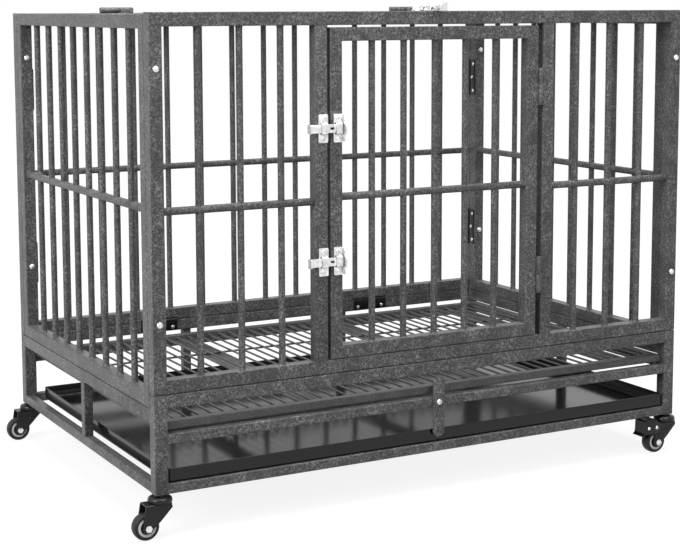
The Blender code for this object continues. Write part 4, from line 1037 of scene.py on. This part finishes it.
def latch_keeper(base, shoulder, crest):
    """Return the keeper: plate, bridge, two screws and a flange that rises from shoulders to a crest."""
    plate = block((KEEPER_START, -0.0210, base), (KEEPER_END, 0.0210, PLATE_TOP), Z_AXIS, 0.0018, 0.0005)
    side = [(-0.0194, PLATE_TOP), (-0.0194, shoulder - 0.0016), (-0.0106, shoulder), (-0.0045, crest)]
    flange = eased(side + [(-t, o) for t, o in side[::-1]], 0.0028, 6)
    shapes = [plate, slab(flange, KEEPER_END - 0.0018, KEEPER_END - 0.0002, X_AXIS, 0.0004)]
    shapes.append(latch_bridge(0.0190, 0.0290))
    return shapes + latch_screws((KEEPER_START + KEEPER_END - 0.0016) / 2)


class CRATE_OT_latches(Operator):
    """Make the two latches beside the door and the one on the lid, each of guide, bolt and keeper"""

    bl_idname = "crate.latches"
    bl_label = "Latches"

    def execute(self, context):
        outwards = [(1, 0, 0), (0, 0, -1), (0, 1, 0)]
        upwards = [(0, -1, 0), (1, 0, 0), (0, 0, 1)]
        panel_top, lid_top = span("front_panel")[1][2], span("top_lid")[1][2]
        on_door = (0.0003, 0.0110, 0.0160)
        on_lid = (lid_top - panel_top + 0.0003, 0.0072, 0.0085)
        for name, turn, across, face, keeper in (
            ("door_latch_lower", outwards, Y_AXIS, 0.0, on_door),
            ("door_latch_upper", outwards, Y_AXIS, 0.0, on_door),
            ("lid_latch", upwards, Z_AXIS, panel_top, on_lid),
        ):
            low, high = span(f"{name}_guide")
            place = (low + high) / 2
            place[across] = face
            for piece, ending, shapes in (
                ("guide", "plate", latch_guide()),
                ("bolt", "bar", latch_bolt()),
                ("keeper", "plate", latch_keeper(*keeper)),
            ):
                place_shapes(f"{name}_{piece}", ending, "bright_zinc", carried(shapes, turn, place))
        return {"FINISHED"}


# Panel bolts and butt hinges


class CRATE_OT_panel_bolts(Operator):
    """Make the eight domed bolt heads that hold the panels together"""

    bl_idname = "crate.panel_bolts"
    bl_label = "Panel Bolts"

    def execute(self, context):
        for row in ("front", "rear"):
            for side in ("left", "right"):
                for level in ("lower", "upper"):
                    node = f"panel_bolt_{row}_{side}_{level}"
                    low, high = span(node)
                    radius, rise = (high[2] - low[2]) / 2, high[1] - low[1]
                    # At an angle t the dome has the radius R sin t and (0.12 + 0.88 cos t) of the rise
                    angle = np.radians([4.0, 18.0, 34.0, 50.0, 66.0, 82.0])
                    stand = rise * (0.12 + 0.88 * np.cos(angle))
                    dome = np.stack([radius * np.sin(angle), high[1] - stand], -1)
                    profile = np.vstack([dome, [(radius, high[1] - 0.10 * rise), (radius, high[1])]])
                    shapes = [turned(profile, (low + high) / 2, Y_AXIS)]
                    place_shapes(node, "dome", "bright_zinc", shapes)
        return {"FINISHED"}


def butt_hinge(first_leaf, second_leaf, half):
    """Return leaves, a knuckle of five rolls and staggered screws of a hinge along Z that faces -Y."""
    sheet, gap, sunk = 0.0016, 0.0004, 0.0002
    knuckle, ease = 0.0026, 0.0005
    pitch, stagger, narrowest_with_screws = 0.026, 0.002, 0.010
    head_radius, head_rise = 0.0032, 0.0012
    leaves = [
        block((-first_leaf, -sheet, -half), (-gap / 2, 0.0, half), Y_AXIS, 0.0022, 0.0004),
        block((gap / 2, -sheet, -half), (second_leaf, 0.0, half), Y_AXIS, 0.0022, 0.0004),
    ]
    edges = np.linspace(-half, half, 6)
    shapes = []
    for start, end in zip(edges[:-1], edges[1:]):
        rim = knuckle - ease
        profile = [(rim, start), (knuckle, start + ease), (knuckle, end - ease), (rim, end)]
        points, quads, triangles = turned(profile, (0.0, -sheet / 2 - sunk, 0.0), Z_AXIS, 24)
        points[:, 1] = np.minimum(points[:, 1], -sunk)
        shapes.append((points, quads, triangles))
    heads = []
    for leaf, side in ((first_leaf, -1.0), (second_leaf, 1.0)):
        if leaf < narrowest_with_screws:
            continue
        for i in (-1, 0, 1):
            place = (side * (leaf * 0.6 + (stagger if i else -stagger)), 0.0, i * pitch)
            heads.append(screw_head(place, Y_AXIS, -sheet, -1.0, head_radius, head_rise, 32))
    return leaves + shapes, heads


class CRATE_OT_butt_hinges(Operator):
    """Make the black hinges inside the back corners and between the base and the back panel"""

    bl_idname = "crate.butt_hinges"
    bl_label = "Butt Hinges"

    def execute(self, context):
        fold = span("back_panel")[0][1]
        quarter = [(0, -1, 0), (1, 0, 0), (0, 0, 1)]
        other_quarter = [(0, 1, 0), (-1, 0, 0), (0, 0, 1)]
        lying = [(0, 0, -1), (0, 1, 0), (1, 0, 0)]
        for side, turn in (("left", quarter), ("right", other_quarter)):
            for level in ("lower", "upper"):
                node = f"corner_hinge_{side}_{level}"
                low, high = span(node)
                face = low[0] if side == "left" else high[0]
                place = (face, fold, (low[2] + high[2]) / 2)
                self.make(node, butt_hinge(0.018, 0.018, (high[2] - low[2]) / 2), turn, place)
            node = f"base_hinge_{side}"
            low, high = span(node)
            place = ((low[0] + high[0]) / 2, high[1], high[2] - 0.005)
            self.make(node, butt_hinge(0.018, 0.005, (high[0] - low[0]) / 2), lying, place)
        return {"FINISHED"}

    def make(self, node, parts, turn, place):
        """Place the leaves and the screws of one hinge."""
        leaves, heads = parts
        place_shapes(node, "leaves", "black_steel", carried(leaves, turn, place))
        shapes = carried(heads, turn, place)
        make_piece(f"{node}_screws", shapes, finish("bright_zinc"), node, stands_in=False)


# Castors, whose cheeks and ears stand this far back from the faces of their sheet
CHEEK_SETBACK = 0.00005


def cheek_pair(outline, middle, half, sheet):
    """Return two flat cheeks of sheet whose outer faces lie at half a width on each side of a middle."""
    starts = (middle - half + CHEEK_SETBACK, middle + half - sheet + CHEEK_SETBACK)
    return [slab(outline, start, start + sheet - 2 * CHEEK_SETBACK, Y_AXIS) for start in starts]


def castor_centre(corner):
    """Return the place along the crate and across it of the middle of a castor's cap."""
    low, high = span(f"castor_{corner}_cap")
    return (low[0] + high[0]) / 2, (low[1] + high[1]) / 2


class CRATE_OT_castor_caps(Operator):
    """Make the four turned bearing caps, each a dome under a short neck with a crimped rim"""

    bl_idname = "crate.castor_caps"
    bl_label = "Castor Caps"

    def execute(self, context):
        for corner in CORNERS:
            node = f"castor_{corner}_cap"
            x, y = castor_centre(corner)
            low, high = span(node)
            bottom, top = low[2], high[2]
            radius, drop = (high[1] - low[1]) / 2, top - bottom
            profile = [
                (0.0085, top),
                (0.0085, top - 0.10 * drop),
                (0.0092, top - 0.17 * drop),
                (0.0120, top - 0.20 * drop),
                (0.74 * radius, top - 0.24 * drop),
                (0.84 * radius, top - 0.30 * drop),
                (0.91 * radius, top - 0.38 * drop),
                (0.96 * radius, top - 0.49 * drop),
                (0.985 * radius, top - 0.60 * drop),
                (radius, top - 0.72 * drop),
                (radius, bottom + 0.10 * drop),
                (0.985 * radius, bottom + 0.03 * drop),
                (0.955 * radius, bottom),
            ]
            place_shapes(node, "dome", "black_steel", [turned(profile, (x, y, 0.0), Z_AXIS, 56)])
        return {"FINISHED"}


class CRATE_OT_castor_forks(Operator):
    """Make the four folded forks: a saddle with round folds and two cheeks that narrow to the axle"""

    bl_idname = "crate.castor_forks"
    bl_label = "Castor Forks"

    def execute(self, context):
        half, sheet, end_radius = 0.01225, 0.0020, 0.008
        for corner in CORNERS:
            x, y = castor_centre(corner)
            top = span(f"castor_{corner}_fork")[1][2]
            axle_x, axle_z = self.axle(corner)
            brim = top - 0.0075
            path = [(y - half, brim), (y - half, top), (y + half, top), (y + half, brim)]
            fold = eased(path, 0.0034, 7, closed=False)
            shapes = [folded_strip(fold, x - 0.026, x + 0.014, -sheet, X_AXIS, 0.0006)]
            # The lower end of a cheek is an arc round the axle
            angle = np.radians(np.arange(-15.0, -191.0, -12.5))
            across, up = end_radius * np.cos(angle), end_radius * np.sin(angle)
            end = np.stack([axle_x + across, axle_z + up], -1)
            shoulders = [(x - 0.0262, top - 0.0030), (x + 0.0125, top - 0.0030), (x + 0.0155, top - 0.0060)]
            throat = (x - 0.0035, top - 0.0255)
            cheek = eased(shoulders + [throat, end[0]], 0.0030, 5, closed=False)
            outline = np.vstack([cheek, end[1:]])
            shapes += cheek_pair(outline, y, half, sheet)
            place_shapes(f"castor_{corner}_fork", "saddle", "black_steel", shapes)
        return {"FINISHED"}

    def axle(self, corner):
        """Return the place of a wheel's axle across the crate's length and height."""
        low, high = span(f"castor_{corner}_wheel")
        return (low[0] + high[0]) / 2, (low[2] + high[2]) / 2


class CRATE_OT_castor_wheels(Operator):
    """Make the four wheels: rounded tyre and hub, and a pale ring sunk in both faces"""

    bl_idname = "crate.castor_wheels"
    bl_label = "Castor Wheels"

    def execute(self, context):
        outer = 0.01375
        inner = outer - context.scene.crate_sizes.ring_width
        for corner in CORNERS:
            node = f"castor_{corner}_wheel"
            low, high = span(node)
            centre = (low + high) / 2
            radius, half = (high[2] - low[2]) / 2, (high[1] - low[1]) / 2
            side = [
                (0.0034, 1.0),
                (0.0058, 1.0),
                (0.0061, 0.97),
                (0.0062, 0.82),
                (inner - 0.0002, 0.80),
                (inner, 0.84),
                (outer, 0.84),
                (outer + 0.0002, 0.92),
                (0.80 * radius, 0.95),
                (0.87 * radius, 0.93),
                (0.93 * radius, 0.84),
                (0.97 * radius, 0.68),
                (0.992 * radius, 0.46),
                (radius, 0.20),
            ]
            profile = [(r, centre[1] + half * h) for r, h in side]
            profile += [(r, centre[1] - half * h) for r, h in side[::-1]]
            tyre = turned(profile, centre, Y_AXIS, 72, closed=True)
            place_shapes(node, "tyre", "black_rubber", [tyre])
            rings = []
            for out in (-1.0, 1.0):
                face = centre[1] + out * half * 0.93
                back = centre[1] + out * half * 0.80
                lift = 0.0003 * out
                section = [(inner, back), (outer, back), (outer, face - lift)]
                section += [(outer - 0.0004, face), (inner + 0.0004, face), (inner, face - lift)]
                rings.append(turned(section, centre, Y_AXIS, 72, closed=True))
            make_piece(f"{node}_rings", rings, finish("ring_plastic"), node, stands_in=False)
        return {"FINISHED"}


class CRATE_OT_castor_axles(Operator):
    """Make the four axle bolts: chamfered hexagons on both ends of a plain shank"""

    bl_idname = "crate.castor_axles"
    bl_label = "Castor Axles"

    def execute(self, context):
        angle = np.radians(np.arange(6) * 60.0)
        shank, head = 0.0030, 0.0035
        for corner in CORNERS:
            node = f"castor_{corner}_axle"
            low, high = span(node)
            centre = (low + high) / 2
            reach = (high[0] - low[0]) / 2
            across, up = centre[0] + reach * np.cos(angle), centre[2] + reach * np.sin(angle)
            hexagon = eased(np.stack([across, up], -1), 0.0003, 3)
            shapes = [rod(shank, centre, low[1] + 0.003, high[1] - 0.003, Y_AXIS)]
            for start, end in ((low[1], low[1] + head), (high[1] - head, high[1])):
                shapes.append(slab(hexagon, start, end, Y_AXIS, 0.0007))
            place_shapes(node, "hexagons", "bright_zinc", shapes)
        return {"FINISHED"}


class CRATE_OT_brake_pedals(Operator):
    """Make the two brake pedals: a folded roof, end and flared lip between two ears, with bright rivets"""

    bl_idname = "crate.brake_pedals"
    bl_label = "Brake Pedals"

    def execute(self, context):
        sheet = 0.0016
        for corner in ("front_right", "rear_right"):
            node = f"castor_{corner}_brake"
            x, y = castor_centre(corner)
            low, high = span(node)
            top = high[2]
            outer = (high[1] - low[1]) / 2 - 0.0012
            end, lip_x, lip_z = x - 0.0505, low[0], low[2]
            path = [(x - 0.0275, top), (end, top), (end - 0.0010, top - 0.0230), (lip_x, lip_z + 0.0026)]
            fold = eased(path, 0.0032, 7, closed=False)
            shell = folded_strip(fold, y - outer, y + outer, sheet, Y_AXIS, 0.0005)
            ear = [
                (end + 0.0005, top - 0.0004),
                (x - 0.0280, top - 0.0004),
                (x - 0.0200, top - 0.0074),
                (x - 0.0190, top - 0.0174),
                (x - 0.0270, top - 0.0240),
                (end - 0.0005, top - 0.0240),
            ]
            shapes = [shell] + cheek_pair(eased(ear, 0.0030, 6), y, outer, sheet)
            place_shapes(node, "pedal", "black_steel", shapes)
            rivets = []
            for rivet_x in (x - 0.0270, x - 0.0437):
                for out in (-1.0, 1.0):
                    face = y + out * outer
                    dome = [(0.0028, -0.0004), (0.0028, 0.0004), (0.0023, 0.0009), (0.0012, 0.0012)]
                    profile = [(r, face + out * h) for r, h in dome]
                    rivets.append(turned(profile, (rivet_x, 0.0, top - 0.0134), Y_AXIS, 28))
            make_piece(f"{node}_rivets", rivets, finish("bright_zinc"), node, stands_in=False)
        return {"FINISHED"}


# Stage


def when_seen(tree, hidden, seen):
    """Return one strength for the light cast on things, another where the camera, a mirror or glass looks."""
    path = add_node(tree, "ShaderNodeLightPath", {})
    looks = reckon(tree, "MAXIMUM", path.outputs["Is Camera Ray"], path.outputs["Is Glossy Ray"])
    looks = reckon(tree, "MAXIMUM", looks, path.outputs["Is Transmission Ray"])
    return ranged(tree, looks, 0.0, 1.0, hidden, seen)


class CRATE_OT_stage(Operator):
    """Make the pale floor, the white surroundings, the soft lamps and the camera"""

    bl_idname = "crate.stage"
    bl_label = "Stage"

    def execute(self, context):
        settings = context.scene.crate_stage
        self.floor(settings)
        self.surroundings(context.scene, settings)
        self.lamp("key_lamp", (-3.2, -0.9, 2.1), (0.0, 0.0, 0.35), 2.2, settings.key_power)
        self.lamp("top_lamp", (0.2, -0.4, 3.4), (0.0, 0.0, 0.2), 2.6, settings.top_power)
        self.lamp("front_lamp", (0.1, -1.9, 1.5), (0.0, 0.0, 0.35), 1.2, settings.front_power)
        self.camera(context.scene, settings)
        context.scene.view_settings.view_transform = "Standard"
        return {"FINISHED"}

    def floor(self, settings):
        """A flat square under the wheels, white with the crate's shadow: the white that is added where
        it is seen grows from the lift to 1 between 0.9 m and 3.2 m from its middle."""
        cells = 8
        edges = cells + 1
        reach = np.linspace(-settings.floor_size / 2, settings.floor_size / 2, edges)
        across, along = np.meshgrid(reach, reach, indexing="ij")
        points = np.stack([across, along, np.full_like(across, -0.0002)], -1).reshape(-1, 3)
        row, column = np.meshgrid(np.arange(cells), np.arange(cells), indexing="ij")
        start = row * edges + column
        faces = np.stack([start, start + edges, start + edges + 1, start + 1], -1).reshape(-1, 4)
        mesh = bpy.data.meshes.new("studio_floor")
        mesh.from_pydata(points, [], faces.tolist())
        material = bpy.data.materials.new("floor_white")
        material.use_nodes = True
        tree = material.node_tree
        shader = tree.nodes["Principled BSDF"]
        grain = add_node(tree, "ShaderNodeTexCoord", {}).outputs["Object"]
        pale = (settings.floor_shade,) * 3
        tone = mixed(tree, noise(tree, grain, 3.0), shade(pale, 1.0), shade(pale, 0.99))
        tree.links.new(tone, shader.inputs["Base Color"])
        shader.inputs["Roughness"].default_value = 1.0
        shader.inputs["Specular IOR Level"].default_value = 0.0
        shader.inputs["Emission Color"].default_value = (1.0, 1.0, 1.0, 1.0)
        away = add_node(tree, "ShaderNodeVectorMath", {0: grain}, operation="LENGTH").outputs["Value"]
        lift = ranged(tree, away, 0.9, 3.2, settings.floor_lift, 1.0)
        tree.links.new(when_seen(tree, 0.0, lift), shader.inputs["Emission Strength"])
        mesh.materials.append(material)
        floor = bpy.data.objects.new("studio_floor", mesh)
        bpy.context.scene.collection.objects.link(floor)

    def surroundings(self, scene, settings):
        """A world that lights evenly and is pure white where it is seen."""
        world = bpy.data.worlds.new("studio_world")
        world.use_nodes = True
        tree = world.node_tree
        background = tree.nodes["Background"]
        background.inputs["Color"].default_value = (1.0, 1.0, 1.0, 1.0)
        tree.links.new(when_seen(tree, settings.sky_light, 1.0), background.inputs["Strength"])
        scene.world = world

    def lamp(self, name, place, target, size, power):
        """A square soft lamp aimed at a point."""
        data = bpy.data.lights.new(name, "AREA")
        data.size = size
        data.energy = power
        lamp = bpy.data.objects.new(name, data)
        toward = Vector(target) - Vector(place)
        lamp.rotation_euler = toward.to_track_quat("-Z", "Y").to_euler()
        lamp.location = place
        bpy.context.scene.collection.objects.link(lamp)

    def camera(self, scene, settings):
        """The photograph's view, fitted to points of the crate: a place in crate positions, then turn,
        tilt and roll."""
        yaw, tilt, roll = 0.4992, 0.1160, -0.0027
        place = np.array((-0.8054, -2.0233, 0.5415)) + CORNER
        ahead = np.array((math.sin(yaw) * math.cos(tilt), math.cos(yaw) * math.cos(tilt), -math.sin(tilt)))
        level = np.array((math.cos(yaw), -math.sin(yaw), 0.0))
        above = np.cross(level, ahead)
        right = level * math.cos(roll) + above * math.sin(roll)
        up = above * math.cos(roll) - level * math.sin(roll)
        data = bpy.data.cameras.new("photo_camera")
        data.lens = settings.lens
        data.sensor_width = 36.0
        data.shift_y = settings.shift
        data.clip_end = 100.0
        camera = bpy.data.objects.new("photo_camera", data)
        turn = Matrix(np.stack([right, up, -ahead], -1).tolist()).to_4x4()
        camera.matrix_world = Matrix.Translation(place) @ turn
        scene.collection.objects.link(camera)
        scene.camera = camera


# Sidebar and start

PIECE_OPERATORS = (
    CRATE_OT_front_panel,
    CRATE_OT_panels,
    CRATE_OT_door,
    CRATE_OT_lid,
    CRATE_OT_door_hinges,
    CRATE_OT_lid_hinges,
    CRATE_OT_base,
    CRATE_OT_floor_grid,
    CRATE_OT_tray,
    CRATE_OT_lock_tab,
    CRATE_OT_latches,
    CRATE_OT_panel_bolts,
    CRATE_OT_butt_hinges,
    CRATE_OT_castor_caps,
    CRATE_OT_castor_forks,
    CRATE_OT_castor_wheels,
    CRATE_OT_castor_axles,
    CRATE_OT_brake_pedals,
    CRATE_OT_stage,
)


class CRATE_PT_sidebar(Panel):
    """Sizes, colours and operators of the dog crate"""

    bl_label = "Dog Crate"
    bl_idname = "CRATE_PT_sidebar"
    bl_space_type = "VIEW_3D"
    bl_region_type = "UI"
    bl_category = "Dog Crate"

    def draw(self, context):
        for group in (context.scene.crate_sizes, context.scene.crate_colours, context.scene.crate_stage):
            column = self.layout.column(align=True)
            for name in group.__annotations__:
                column.prop(group, name)
        for operator in PIECE_OPERATORS:
            self.layout.operator(operator.bl_idname)


CLASSES = (CrateSizes, CrateColours, StageSettings, *PIECE_OPERATORS, CRATE_PT_sidebar)


def register():
    """Register the classes and hang their settings on the scene."""
    for item in CLASSES:
        bpy.utils.register_class(item)
    bpy.types.Scene.crate_sizes = PointerProperty(type=CrateSizes)
    bpy.types.Scene.crate_colours = PointerProperty(type=CrateColours)
    bpy.types.Scene.crate_stage = PointerProperty(type=StageSettings)


def unregister():
    """Take the settings and the classes away again."""
    del bpy.types.Scene.crate_stage
    del bpy.types.Scene.crate_colours
    del bpy.types.Scene.crate_sizes
    for item in reversed(CLASSES):
        bpy.utils.unregister_class(item)


def main():
    """Make every piece and the stage."""
    register()
    for operator in PIECE_OPERATORS:
        group, name = operator.bl_idname.split(".")
        getattr(getattr(bpy.ops, group), name)()


if __name__ == "__main__":
    main()
